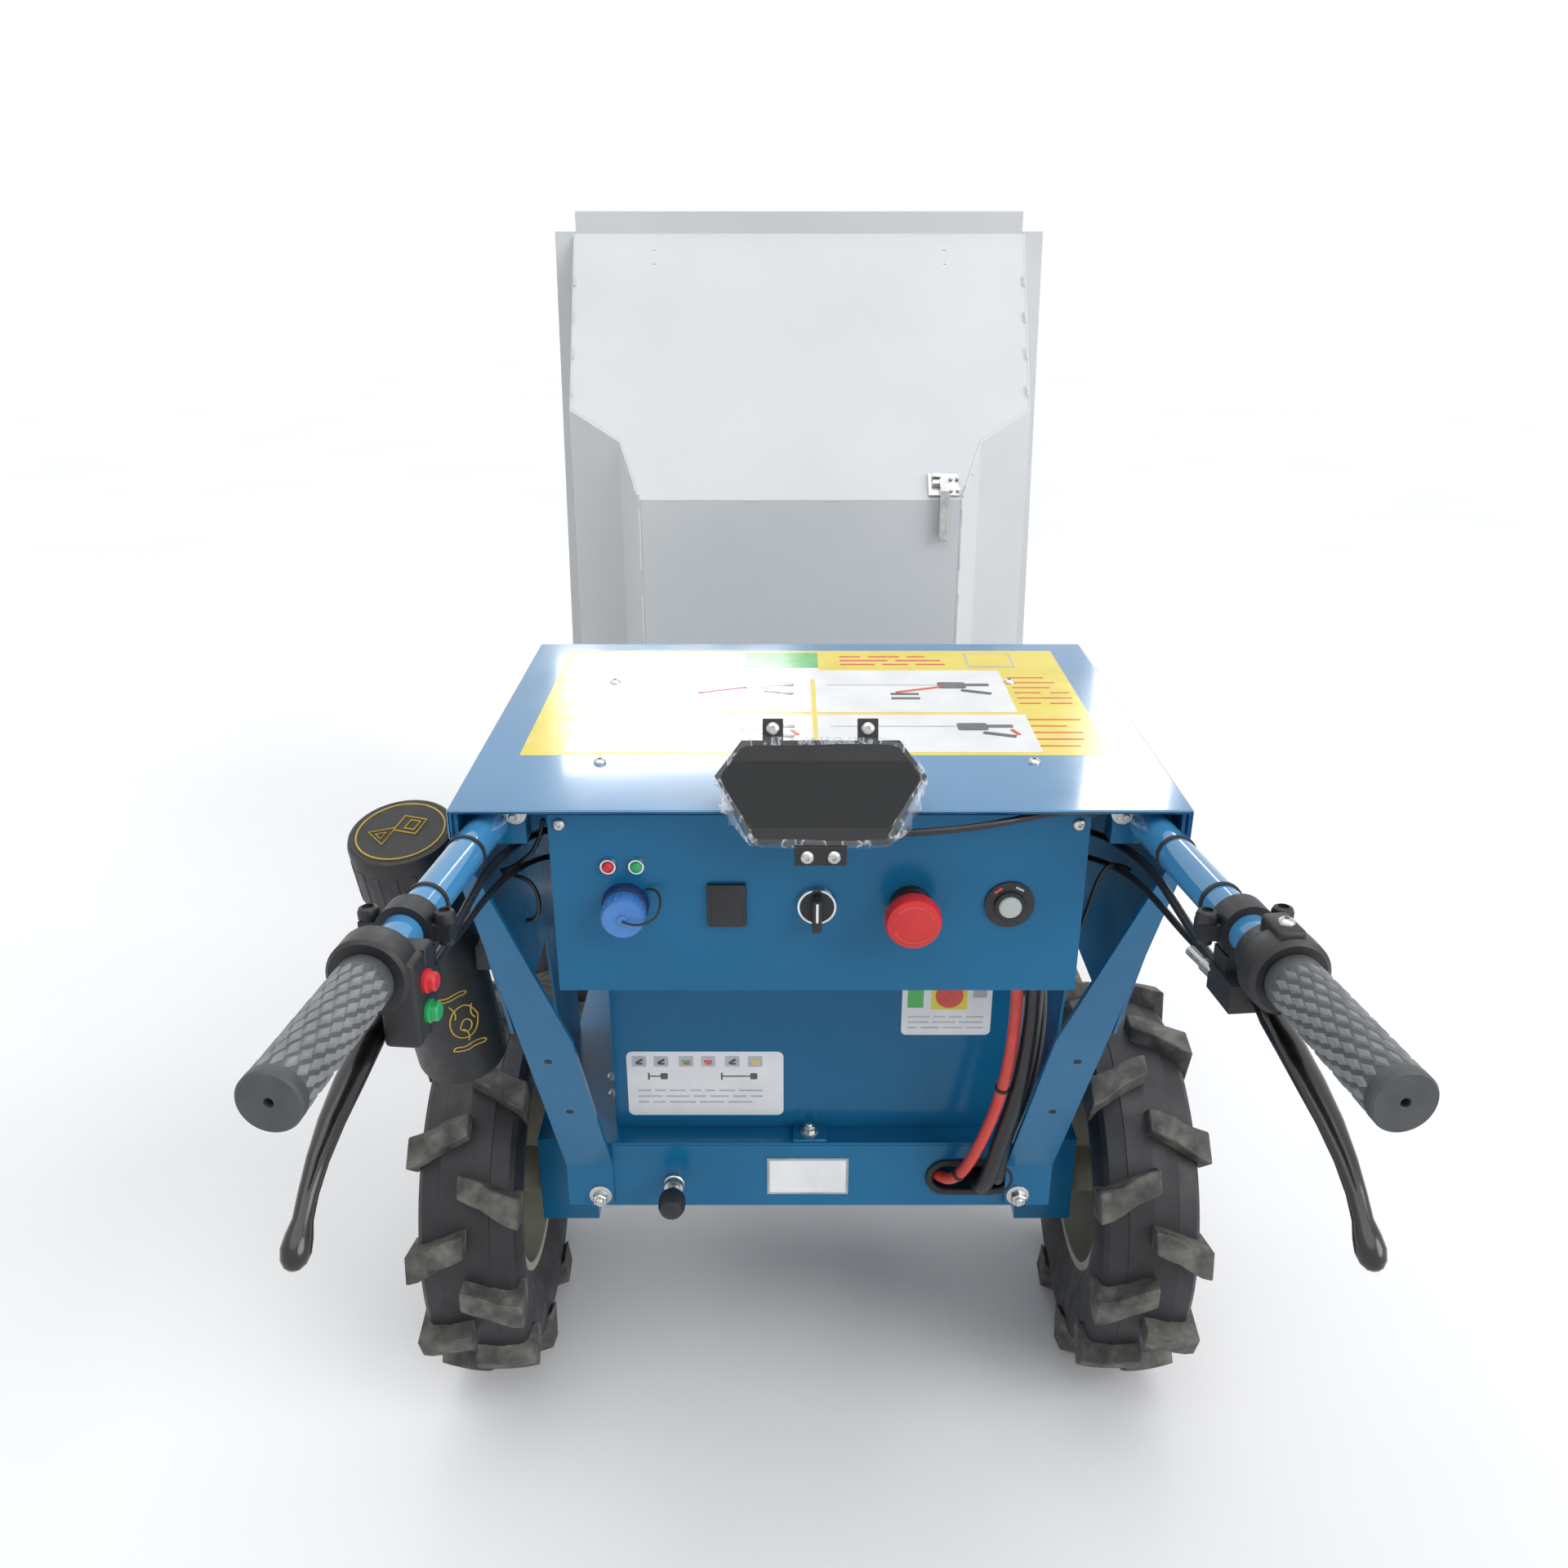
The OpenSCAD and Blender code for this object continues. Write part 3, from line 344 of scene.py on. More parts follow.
def strand(bm, points, radius, sides=3, closed=False, slot=0, smooth=True):
    """A round wire of one radius along a line of points."""
    line = bpy.data.curves.new("strand", "CURVE")
    line.dimensions = "3D"
    line.bevel_depth = radius
    line.bevel_resolution = sides
    line.resolution_u = 6
    line.use_fill_caps = True
    spline = line.splines.new("NURBS" if smooth else "POLY")
    spline.points.add(len(points) - 1)
    for point, place in zip(spline.points, points):
        point.co = (*place, 1.0)
    spline.order_u = 3
    spline.use_endpoint_u = True
    spline.use_cyclic_u = closed
    holder = bpy.data.objects.new("strand", line)
    mesh = bpy.data.meshes.new_from_object(holder)
    part = bmesh.new()
    part.from_mesh(mesh)
    pour(bm, part, slot=slot)
    bpy.data.objects.remove(holder)
    bpy.data.curves.remove(line)
    bpy.data.meshes.remove(mesh)


trim_bm = bmesh.new()
for side in (-1, 1):
    hex_bolt(trim_bm, (side * 203, beam_back - 4, 304), (0, -1, 0), 13, 0)
    for y in (-30, 30):
        hex_bolt(trim_bm, (side * 235, y, 318), (side, 0, 0), 13, 0)
        hex_bolt(trim_bm, (side * 235, y + WHEELBASE, 318), (side, 0, 0), 13, 0)
    hex_bolt(trim_bm, (side * 214, beam_back + 8, 363), (0, 0, 1), 10, 0)
add_piece("chassis_bolts", trim_bm, [zinc])

plate_bm = bmesh.new()
block(plate_bm, (-41, beam_back - 0.7, 302), (38, beam_back, 345), 0.3, 1, 0)
block(plate_bm, (-38.5, beam_back - 0.9, 304.5), (35.5, beam_back - 0.2, 342.5), 0.2, 1, 1)
add_piece("blank_plate", plate_bm, [label_grey, label_white])

grommet_bm = bmesh.new()
arc = [math.radians(a) for a in range(-90, 91, 15)]
run = HOLE_HALF - HOLE_R
oval = [(HOLE_X + run + HOLE_R * math.cos(a), HOLE_Z + HOLE_R * math.sin(a)) for a in arc]
oval += [(HOLE_X - run - HOLE_R * math.cos(a), HOLE_Z - HOLE_R * math.sin(a)) for a in arc]
strand(grommet_bm, [(x, beam_back - 0.8, z) for x, z in oval], 3.6, 4, closed=True)
add_piece("grommet", grommet_bm, [soft_rubber])

knob_low, knob_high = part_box("pull_knob")
knob_bm = bmesh.new()
knob_place = facing(((knob_low.x + knob_high.x) / 2 / MM, beam_back,
                     (knob_low.z + knob_high.z) / 2 / MM),
                    (0, -1, 0))
turned(knob_bm, [(0, 0), (10, 0), (10, 5), (9, 6), (9, 12), (6, 13), (6, 24), (0, 24)], knob_place,
       32, 0)
turned(knob_bm, [(0, 22), (9, 22), (12, 25), (13, 31), (12.6, 38), (10.5, 43), (6, 45.5), (0, 46)],
       knob_place, 40, 1)
add_piece("pull_knob_turned", knob_bm, [zinc, black_plastic],
          stands_for=("pull_knob",))

# Wheels: farm-type tyres with eleven slanted lugs on each side of the middle, on cream steel rims
# with a pressed disc, five nuts, a valve and a dust cap.

tyre_rubber = finish("tyre rubber", two_tone((25, 26, 29), (36, 37, 41)), (0.42, 0.62), patch=14,
                     grain=420, bump=0.25, depth=0.0006)
lug_rubber = finish("dusty lugs", [(0.3, seen(50, 50, 49)), (0.5, seen(80, 79, 75)),
                                   (0.72, seen(112, 109, 103))], (0.6, 0.8), patch=55, grain=500,
                    bump=0.45, depth=0.001)
rim_paint = finish("cream paint", two_tone((156, 154, 140), (174, 171, 156)), (0.35, 0.5), patch=18,
                   grain=300, bump=0.1)
tread_r = (tyre_high.z - tyre_low.z) / 2 / MM
tread_half = (tyre_high.x - tyre_low.x) / 2 / MM
BEAD_R, LUGS, LUG_RISE = 101.5, 11, 19.0
carcass_r = tread_r - LUG_RISE


def add_tyre(bm, turn):
    """A carcass with a mould line and shoulder ridges, and its lugs, all about the X axis."""
    half = [(33, BEAD_R), (37, BEAD_R + 6), (44, BEAD_R + 20), (49, BEAD_R + 38), (50, BEAD_R + 52),
            (48.5, carcass_r - 18), (46, carcass_r - 11), (46.5, carcass_r - 10),
            (42, carcass_r - 5), (25, carcass_r - 1.2), (24.5, carcass_r - 0.2), (4, carcass_r),
            (1, carcass_r + 0.4)]
    outline = half + [(-x, r) for x, r in reversed(half)]
    outline += [(-28, BEAD_R + 1), (28, BEAD_R + 1), half[0]]
    turned(bm, [(r, x) for x, r in outline], Matrix.Rotation(math.pi / 2, 4, "Y"), 88, 0)
    for side in (-1, 1):
        part = bmesh.new()
        bmesh.ops.create_cube(part, size=1.0)
        across = [e for e in part.edges if abs(e.verts[0].co.x - e.verts[1].co.x) > 0.5]
        bmesh.ops.subdivide_edges(part, edges=across, cuts=4)
        for v in part.verts:
            t = v.co.x + 0.5
            top = v.co.z > 0
            x = side * (-3 + (tread_half - 1 + 3) * t)
            ripple = 1.6 * math.sin(t * 9 + (1 if v.co.y > 0 else 2))
            width = 22 + 9 * t
            drop = 30 * t
            high = tread_r - 0.3 - 6.5 * t * t
            low = carcass_r - 4 - 24 * t * t
            radius = high if top else low
            reach = width * (1.0 if top else 1.22) * v.co.y + drop + (ripple if top else 0)
            angle = reach / tread_r + (0 if side > 0 else math.pi / LUGS)
            v.co = (x if top or t < 0.99 else x * 0.97, -radius * math.cos(angle),
                    -radius * math.sin(angle))
        bmesh.ops.recalc_face_normals(part, faces=part.faces)
        edges = [e for e in part.edges if e.calc_face_angle(0) > math.radians(35)]
        round_edges(part, edges, 1.2, 1)
        bmesh.ops.spin(part, geom=list(part.verts) + list(part.edges) + list(part.faces),
                       cent=(0, 0, 0), axis=(1, 0, 0), dvec=(0, 0, 0), use_duplicate=True,
                       angle=2 * math.pi * (LUGS - 1) / LUGS, steps=LUGS - 1)
        pour(bm, part, slot=1)
    bmesh.ops.rotate(bm, cent=(0, 0, 0), matrix=Matrix.Rotation(turn, 3, "X"), verts=bm.verts)


for end in ("rear", "front"):
    for side, hand in ((-1, "left"), (1, "right")):
        body = f"wheel_{end}_{hand}"
        low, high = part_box(f"tyre_{end}_{hand}")
        centre = (low + high) / 2
        place = Matrix.Translation((centre.x / MM, (centre.y - AXLE_Y) / MM, centre.z / MM))
        bm = bmesh.new()
        add_tyre(bm, 0.10 + 0.13 * side + 0.3 * (end == "front"))
        bmesh.ops.transform(bm, matrix=place, verts=bm.verts)
        add_piece(f"tread_{end}_{hand}", bm, [tyre_rubber, lug_rubber], body,
                  (f"tyre_{end}_{hand}",), crease=30)
        soften(f"rim_{end}_{hand}", rim_paint, 1.2, body=body)
        bm = bmesh.new()
        outward = place @ Matrix.Rotation(side * math.pi / 2, 4, "Y")
        turned(bm, [(58, 13), (60, 17), (66, 19), (74, 19), (80, 17), (82, 13)], outward, 64, 0)
        turned(bm, [(16, 20), (16, 27), (13, 31), (7, 33), (0, 33.5)], outward, 32, 0)
        for step in range(5):
            angle = 2 * math.pi * step / 5
            spot = outward @ Vector((42 * math.cos(angle), 42 * math.sin(angle), 14))
            hex_bolt(bm, spot, (side, 0, 0), 17, 1)
        stem = outward @ Vector((0, 88, 14))
        turned(bm, [(0, 0), (4, 0), (4, 9), (3, 10), (3, 22), (2.4, 24), (0, 24)],
               facing(stem, (side, 0, 0)), 16, 2)
        add_piece(f"rim_trim_{end}_{hand}", bm, [rim_paint, zinc, soft_rubber], body)

# Battery box: a closed folded-steel box on the deck that holds the traction battery. Two printed
# film labels are stuck to its rear face, and a bolt holds its tab.

soften("battery_box", blue_paint, 1.5, 3)
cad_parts["battery"].data.materials.clear()
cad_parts["battery"].data.materials.append(black_plastic)


def ink(name, dark, light, patch=60):
    """A flat glossy print on a label."""
    return finish(name, two_tone(dark, light), (0.12, 0.2), patch=patch, grain=900, bump=0.03)


print_dark = ink("dark print", (60, 64, 68), (86, 90, 94))
print_pale = ink("pale print", (176, 180, 188), (192, 196, 203))
print_red = ink("red print", (206, 62, 50), (222, 84, 66))
print_green = ink("green print", (70, 172, 84), (92, 190, 100), 40)
print_yellow = ink("yellow print", (226, 204, 52), (234, 214, 70), 20)
box_back = (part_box("battery_box")[0].y - AXLE_Y) / MM
WHITE, PALE, DARK, RED, GREEN, YELLOW = range(6)
PRINTS = [label_white, print_pale, print_dark, print_red, print_green, print_yellow]
LAYER = 0.12


def patch(bm, place, low, high, layer, slot, turn=0.0, corner=0.0):
    """A flat patch of film or ink on a label, given by two corners in the label's own X and Y."""
    middle = Vector(((low[0] + high[0]) / 2, (low[1] + high[1]) / 2, 0))
    half = Vector(((high[0] - low[0]) / 2, (high[1] - low[1]) / 2, 0))
    part = bmesh.new()
    bmesh.ops.create_cube(part, size=1.0, matrix=Matrix.Diagonal((2 * half.x, 2 * half.y, 1, 1)))
    if corner:
        upright = [e for e in part.edges if abs(e.verts[0].co.z - e.verts[1].co.z) > 0.5]
        round_edges(part, upright, corner, 5)
    flat = Matrix.Diagonal((1, 1, LAYER * (layer + 1), 1)) @ Matrix.Translation((0, 0, 0.5))
    pour(bm, part, place @ Matrix.Translation(middle) @ Matrix.Rotation(turn, 4, "Z") @ flat, slot)


def lines_of_print(bm, place, low, high, rows, layer, slot, share=0.45):
    """Rows of short bars that stand for small print."""
    pitch = (high[1] - low[1]) / rows
    for row in range(rows):
        x, y = low[0], high[1] - pitch * (row + 0.5)
        while x < high[0] - pitch:
            length = min(pitch * random.uniform(1.2, 4.0), high[0] - x)
            patch(bm, place, (x, y - pitch * share / 2), (x + length, y + pitch * share / 2), layer,
                  slot)
            x += length + pitch * 0.6


label_bm = bmesh.new()
rear_face = Matrix.Translation((0, box_back, 0)) @ Matrix.Rotation(math.pi / 2, 4, "X")
patch(label_bm, rear_face, (-175, 377), (-25, 450), 0, WHITE, corner=6)
for x, ink in ((-163, DARK), (-142, DARK), (-118, GREEN), (-97, RED), (-74, DARK), (-52, YELLOW)):
    patch(label_bm, rear_face, (x - 7, 433), (x + 7, 445), 1, PALE, corner=1.5)
    patch(label_bm, rear_face, (x - 4, 438), (x + 4, 440.4), 2, ink, turn=0.6 if ink == DARK else 0)
    patch(label_bm, rear_face, (x - 2.5, 435.5), (x + 3.5, 437.4), 3, RED if ink == GREEN else ink)
for x, reach in ((-154, 12), (-84, 28)):
    patch(label_bm, rear_face, (x, 421.4), (x + reach, 422.8), 1, DARK)
    patch(label_bm, rear_face, (x - 1, 418), (x + 0.6, 426), 1, DARK)
    patch(label_bm, rear_face, (x + reach - 1, 418.6), (x + reach + 6, 425.6), 2, DARK, corner=1.5)
lines_of_print(label_bm, rear_face, (-165, 389), (-45, 409), 3, 1, PALE, 0.28)
patch(label_bm, rear_face, (86, 469), (170, 535), 0, WHITE, corner=5)
patch(label_bm, rear_face, (91, 499), (106, 526), 1, GREEN)
patch(label_bm, rear_face, (113, 497), (147, 531), 1, YELLOW)
turned(label_bm, [(0, 0), (13, 0), (13, 0.5), (0, 0.5)], facing((130, box_back, 512), (0, -1, 0)),
       32, RED)
patch(label_bm, rear_face, (152, 510), (165, 526), 1, PALE)
lines_of_print(label_bm, rear_face, (92, 474), (163, 492), 3, 1, PALE, 0.26)
add_piece("battery_labels", label_bm, PRINTS)

tab_bm = bmesh.new()
block(tab_bm, (-16, box_back - 24, 363), (16, box_back, 366), 0.8, 1, 0)
hex_bolt(tab_bm, (0, box_back - 12, 366), (0, 0, 1), 10, 1)
for z in (392, 412):
    hex_bolt(tab_bm, (-188, box_back + 14, z), (-1, 0, 0), 8, 1)
add_piece("battery_tab", tab_bm, [blue_paint, zinc])

# Console: a folded box behind the control panel under a glossy top cover, between two side plates,
# with a flat bent strut from each rear corner down to the beam.

for node, width in (("console_box", 1.2), ("control_panel", 0.8), ("side_plate_left", 0.8),
                    ("side_plate_right", 0.8), ("strut_left", 1.0), ("strut_right", 1.0)):
    soften(node, blue_paint, width)
cover_paint = finish("cover paint", two_tone((36, 118, 168), (42, 127, 178)), (0.1, 0.17), patch=5,
                     grain=260, bump=0.06, depth=0.0003, coat=0.6)
soften("cover", cover_paint, 1.8, 3)
panel_low, panel_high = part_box("control_panel")
panel_y = (panel_low.y - AXLE_Y) / MM
panel_top = panel_high.z / MM
cover_low, cover_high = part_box("cover")
cover_rear = (cover_low.y - AXLE_Y) / MM
cover_top = cover_high.z / MM

screw_bm = bmesh.new()
DOME = [(4.8, 0), (4.8, 0.9), (4.0, 2.3), (2.4, 3.1), (1.6, 3.2), (1.6, 1.4), (0, 1.4)]
for x in (-182, 182):
    turned(screw_bm, DOME, facing((x, panel_y, panel_top - 7), (0, -1, 0)), 20)
for x, y in ((170, -105), (160, -288)):
    for side in (-1, 1):
        turned(screw_bm, DOME, facing((side * x, y, cover_top), (0, 0, 1)), 20)
for side in (-1, 1):
    hex_bolt(screw_bm, (side * 213, cover_rear + 28, 797), (0, -1, 0), 10)
add_piece("console_screws", screw_bm, [zinc])

# Dark discs in the rubber finish on each strut stand for its two holes: painted shade where the
# holes look dark.
hole_shade_bm = bmesh.new()
strut_dir = Vector((0, 208.5, -415)).normalized()
for side in (-1, 1):
    for x, along in ((224, 260), (217, 352)):
        point = Vector((side * x, -368, 755)) + strut_dir * along
        out = Vector((0, strut_dir.z, -strut_dir.y))
        turned(hole_shade_bm, [(0, 0.15), (3.4, 0.15), (3.4, -1), (0, -1)],
               facing(point + out * 0.2, out), 20)
add_piece("strut_hole_painted_shade", hole_shade_bm, [soft_rubber])

# Cover label: one large printed film with a yellow ground, a green and a yellow strip at the front,
# and four framed white cells that show a lever on its tube.

decal_bm = bmesh.new()
top_face = Matrix.Translation((0, 0, cover_top))
patch(decal_bm, top_face, (-222, -274), (222, -13), 0, YELLOW, corner=2)
patch(decal_bm, top_face, (-214, -96), (6, -20), 1, WHITE)
patch(decal_bm, top_face, (-60, -64), (6, -20), 2, GREEN)
patch(decal_bm, top_face, (8, -64), (128, -20), 1, YELLOW)
lines_of_print(decal_bm, top_face, (26, -60), (120, -26), 3, 2, RED, 0.34)
patch(decal_bm, top_face, (140, -62), (182, -22), 2, PALE)
patch(decal_bm, top_face, (142, -60), (180, -24), 3, YELLOW)
for row, (back, front) in enumerate(((-180, -72), (-268, -186))):
    for left, right in ((-190, -2), (2, 165 + 5 * row)):
        middle = (back + front) / 2 + 14
        hand = Matrix.Translation((right - 44, middle, 0))
        patch(decal_bm, top_face, (left, back), (right, front), 2, WHITE)
        patch(decal_bm, top_face, (left + 10, middle - 1.2), (right - 40, middle + 1.2), 3, PALE)
        patch(decal_bm, top_face @ hand, (-14, -9), (10, 7), 4, DARK, corner=3)
        patch(decal_bm, top_face @ hand, (8, -3), (30, 3), 5, DARK, corner=1)
        patch(decal_bm, top_face @ hand, (4, -21), (30, -16), 6, DARK, turn=-0.35, corner=1)
        if row:
            patch(decal_bm, top_face @ hand, (24, -15), (36, -12), 7, RED, turn=-1.2)
        else:
            patch(decal_bm, top_face @ hand, (-52, -14), (-10, -11), 7, RED, turn=0.35)
            lines_of_print(decal_bm, top_face @ hand, (-56, -40), (-32, -18), 2, 3, DARK, 0.5)
lines_of_print(decal_bm, top_face, (170, -165), (216, -85), 6, 2, RED, 0.16)
lines_of_print(decal_bm, top_face, (170, -262), (216, -190), 5, 2, RED, 0.16)
add_piece("cover_label", decal_bm, PRINTS)

# Panel controls: a capped charging socket, a rocker switch, a key switch, an emergency stop, a
# reset button and two pilot lamps, each clamped in its own hole.

chrome = finish("chrome", two_tone((200, 202, 206), (222, 224, 227)), (0.06, 0.14), patch=60,
                grain=900, bump=0.03, metal=1.0)


def moulded(name, dark, light, rough, bump):
    """A moulded plastic of one colour."""
    return finish(name, two_tone(dark, light), rough, patch=40, grain=900, bump=bump)


red_plastic = moulded("red plastic", (196, 34, 38), (208, 44, 46), (0.32, 0.42), 0.06)
blue_plastic = moulded("blue plastic", (62, 118, 186), (72, 130, 198), (0.35, 0.5), 0.1)
dark_blue = moulded("dark blue plastic", (18, 44, 88), (24, 52, 98), (0.35, 0.5), 0.1)
pale_plastic = moulded("pale plastic", (176, 186, 182), (192, 200, 196), (0.35, 0.45), 0.05)
green_plastic = moulded("green plastic", (26, 150, 84), (36, 168, 96), (0.28, 0.4), 0.05)


def on_panel(node):
    """The place of a control: the middle of its node, on the panel's face, pointing at the user."""
    low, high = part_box(node)
    return facing(((low.x + high.x) / 2 / MM, panel_y, (low.z + high.z) / 2 / MM), (0, -1, 0))


place = on_panel("charging_socket")
bm = bmesh.new()
turned(bm, [(0, 0), (17, 0), (17, 4), (15.8, 6.5), (14.5, 7), (14.5, 10), (0, 10)], place, 40, 1)
turned(bm, [(0, 9), (15, 9), (15.5, 10), (15.5, 21.5), (14, 24), (0, 24)], place, 40, 0)
turned(bm, [(0, 24), (3.4, 24), (3.4, 25.5), (0, 25.8)], place, 20, 0)
for step in range(20):
    angle = 2 * math.pi * step / 20
    rib = place @ Matrix.Rotation(angle, 4, "Z")
    block(bm, (15.0, -0.8, 11), (16.0, 0.8, 21), 0.3, 1, 0, rib)
strand(bm, [place @ Vector(p) for p in ((0, 0, 26), (6, -2, 27.5), (16, -2, 27), (25, 2, 22),
                                        (27, 10, 12), (22, 15, 4), (15, 13, 2))], 0.9, 2, slot=2)
add_piece("charging_cap", bm, [blue_plastic, dark_blue, soft_rubber],
          stands_for=("charging_socket",))

low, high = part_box("rocker_switch")
place = on_panel("rocker_switch")
wide, tall = (high.x - low.x) / 2 / MM, (high.z - low.z) / 2 / MM
bm = bmesh.new()
block(bm, (-wide, -tall, 0), (wide, tall, 4), 1.2, 2, 0, place)
block(bm, (-wide + 3, -tall + 3.4, 2), (wide - 3, tall - 3.4, 5.2), 0.8, 2, 0,
      place @ Matrix.Rotation(math.radians(-5), 4, "X"))
add_piece("rocker_moulding", bm, [black_plastic], stands_for=("rocker_switch",))

place = on_panel("key_switch")
bm = bmesh.new()
turned(bm, [(0, 0), (14.75, 0), (14.75, 3), (13.9, 5), (12.4, 5), (12.2, 4), (0, 4)], place, 48, 0)
turned(bm, [(0, 3.5), (12.2, 3.5), (12.2, 4.6), (0, 4.6)], place, 40, 1)
block(bm, (-3.5, -13, 4), (3.5, 13, 15.5), 1.6, 2, 1, place @ Matrix.Translation((0, -3, 0)))
block(bm, (-0.9, -8, 15), (0.9, 7, 15.9), 0.2, 1, 2, place @ Matrix.Translation((0, 1, 0)))
add_piece("key_and_ring", bm, [chrome, black_plastic, label_white],
          stands_for=("key_switch",))

place = on_panel("emergency_stop")
bm = bmesh.new()
turned(bm, [(0, 0), (15, 0), (15, 4.5), (14, 6), (0, 6)], place, 40, 1)
turned(bm, [(0, 5), (12, 5), (12, 17), (15, 18.5), (19.4, 20), (20, 21.5), (20, 28), (18.6, 31),
            (16.5, 32), (10, 31.2), (0, 30.8)], place, 56, 0)
for start in (20, 200):
    arc = [math.radians(start + a) for a in range(0, 125, 12)]
    strand(bm, [place @ Vector((14 * math.cos(a), 14 * math.sin(a), 31.6)) for a in arc], 0.6, 2,
           slot=2)
add_piece("stop_button", bm, [red_plastic, black_plastic, print_red],
          stands_for=("emergency_stop",))

place = on_panel("reset_button")
bm = bmesh.new()
turned(bm, [(0, 0), (18, 0), (18, 1.6), (17.4, 2), (0, 2)], place, 48, 0)
turned(bm, [(0, 1), (11.5, 1), (11.5, 4), (10.8, 5), (8.6, 5), (8.4, 4), (0, 4)], place, 40, 0)
turned(bm, [(0, 3), (8.2, 3), (8.2, 6), (7.4, 7), (0, 7)], place, 40, 1)
for angle, ink in ((2.2, 2), (1.1, 3)):
    spot = place @ Matrix.Rotation(angle, 4, "Z") @ Matrix.Translation((14.6, 0, 2))
    block(bm, (-0.8, -3.2, 0), (0.8, 3.2, 0.15), 0, 1, ink, spot)
add_piece("reset_ring", bm, [black_plastic, pale_plastic, print_red, print_pale],
          stands_for=("reset_button",))

low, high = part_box("indicator_lamps")
bm = bmesh.new()
for x, lens in ((low.x / MM + 6.5, 1), (high.x / MM - 6.5, 2)):
    place = facing((x, panel_y, (low.z + high.z) / 2 / MM), (0, -1, 0))
    turned(bm, [(0, 0), (6.5, 0), (6.5, 1.8), (5.6, 3.2), (4.5, 3.2), (4.5, 2.4), (0, 2.4)], place,
           32, 0)
    turned(bm, [(0, 2), (4.4, 2), (4.3, 4), (3.2, 5.4), (1.6, 6), (0, 6)], place, 28, lens)
add_piece("pilot_lamps", bm, [chrome, red_plastic, green_plastic],
          stands_for=("indicator_lamps",))

# Display: a black hexagonal unit that leans back on a bracket over the cover's rear edge. It has
# two lugs on top, a dark window, and its clear shipping film is still wrapped round it,
# with painted highlights as white streaks along the film's folds.

soften("display", black_plastic, 1.6, 3)
window = finish("display window", two_tone((14, 20, 21), (18, 25, 26)), (0.12, 0.2), patch=20,
                grain=400, bump=0.03)
film = bpy.data.materials.new("clear film with painted highlights")
film.use_nodes = True
film_tree = film.node_tree
film_shader = film_tree.nodes["Principled BSDF"]
film_shader.inputs["Base Color"].default_value = (0.9, 0.93, 0.95, 1.0)
film_shader.inputs["Roughness"].default_value = 0.12
# The fold pattern sets both the film's relief and its alpha. Near the pattern's middle the white
# film turns half opaque, in streaks that are painted highlights on the folds; elsewhere it is
# almost clear.
film_folds_and_highlights = noise(film_tree, 95, 3.0, (1.0, 0.45, 0.6))
film_highlight_streaks = ramp(film_tree, film_folds_and_highlights, [(0.44, (0.04, 0.04, 0.04, 1)),
                                            (0.5, (0.45, 0.45, 0.45, 1)),
                                            (0.54, (0.08, 0.08, 0.08, 1))])
film_tree.links.new(film_highlight_streaks, film_shader.inputs["Alpha"])
film_relief = film_tree.nodes.new("ShaderNodeBump")
film_relief.inputs["Strength"].default_value = 0.9
film_relief.inputs["Distance"].default_value = 0.004
film_tree.links.new(film_folds_and_highlights, film_relief.inputs["Height"])
film_tree.links.new(film_relief.outputs["Normal"], film_shader.inputs["Normal"])

DISPLAY = (Matrix.Translation((0, cover_rear - 20, cover_top - 16))
           @ Matrix.Rotation(math.radians(65), 4, "X"))
OUTLINE = [(-46, 0), (46, 0), (51, 12), (71, 46), (53, 70), (-53, 70), (-71, 46), (-51, 12)]


def shrunk(outline, by):
    """The display's outline drawn in by a distance towards its middle."""
    return [(x * (1 - by / 71), 35 + (y - 35) * (1 - by / 35)) for x, y in outline]


bm = bmesh.new()
screen = [(-44, 12), (44, 12), (50, 17), (67, 46), (60, 56), (-60, 56), (-67, 46), (-50, 17)]
face = bm.faces.new([bm.verts.new((x, y, 0.0)) for x, y in screen])
raised = bmesh.ops.extrude_face_region(bm, geom=[face])
raised_corners = [g for g in raised["geom"] if isinstance(g, bmesh.types.BMVert)]
bmesh.ops.translate(bm, vec=(0, 0, 0.5), verts=raised_corners)
bmesh.ops.transform(bm, matrix=DISPLAY, verts=bm.verts)
add_piece("display_window", bm, [window])

bm = bmesh.new()
for x in (-32, 32):
    turned(bm, DOME, DISPLAY @ Matrix.Translation((x, 78, -4)), 20, 0)
for x in (-9, 9):
    turned(bm, DOME, facing((x, cover_rear - 23, cover_top - 23.5), (0, -1, 0)), 20, 0)
add_piece("display_screws", bm, [zinc])

bm = bmesh.new()
loops = []
for height, out in ((-9.5, 0.8), (-5, 2.6), (-1, 2.0), (1.0, 0.2), (0.9, -3.0)):
    corners = shrunk(OUTLINE, -out)
    ring = []
    for (ax, ay), (bx, by) in zip(corners, corners[1:] + corners[:1]):
        for step in range(5):
            t = step / 5
            jitter = Vector([random.uniform(-1.1, 1.1) for _ in range(3)])
            point = Vector((ax + (bx - ax) * t, ay + (by - ay) * t, height))
            ring.append(bm.verts.new(point + jitter))
    loops.append([bm.edges.new((a, b)) for a, b in zip(ring, ring[1:] + ring[:1])])
for lower, upper in zip(loops, loops[1:]):
    bmesh.ops.bridge_loops(bm, edges=lower + upper)
for side in (-1, 1):
    for pleat in range(3):
        ring = []
        for step in range(15):
            t = step / 14
            edge = Vector((71 - 23 * t, 44 - 42 * t, -4 + 4 * pleat / 2))
            width = 1 + (2.5 + 2.5 * pleat) * math.sin(3.1 * t) * random.random()
            flare = Vector((1.0, -0.6, 0)) * width
            lift = Vector((0, 0, random.uniform(-2.5, 2.5)))
            ring.append([bm.verts.new(Vector((side * p.x, p.y, p.z)))
                         for p in (edge, edge + flare + lift)])
        for (a, b), (c, d) in zip(ring, ring[1:]):
            bm.faces.new((a, b, d, c))
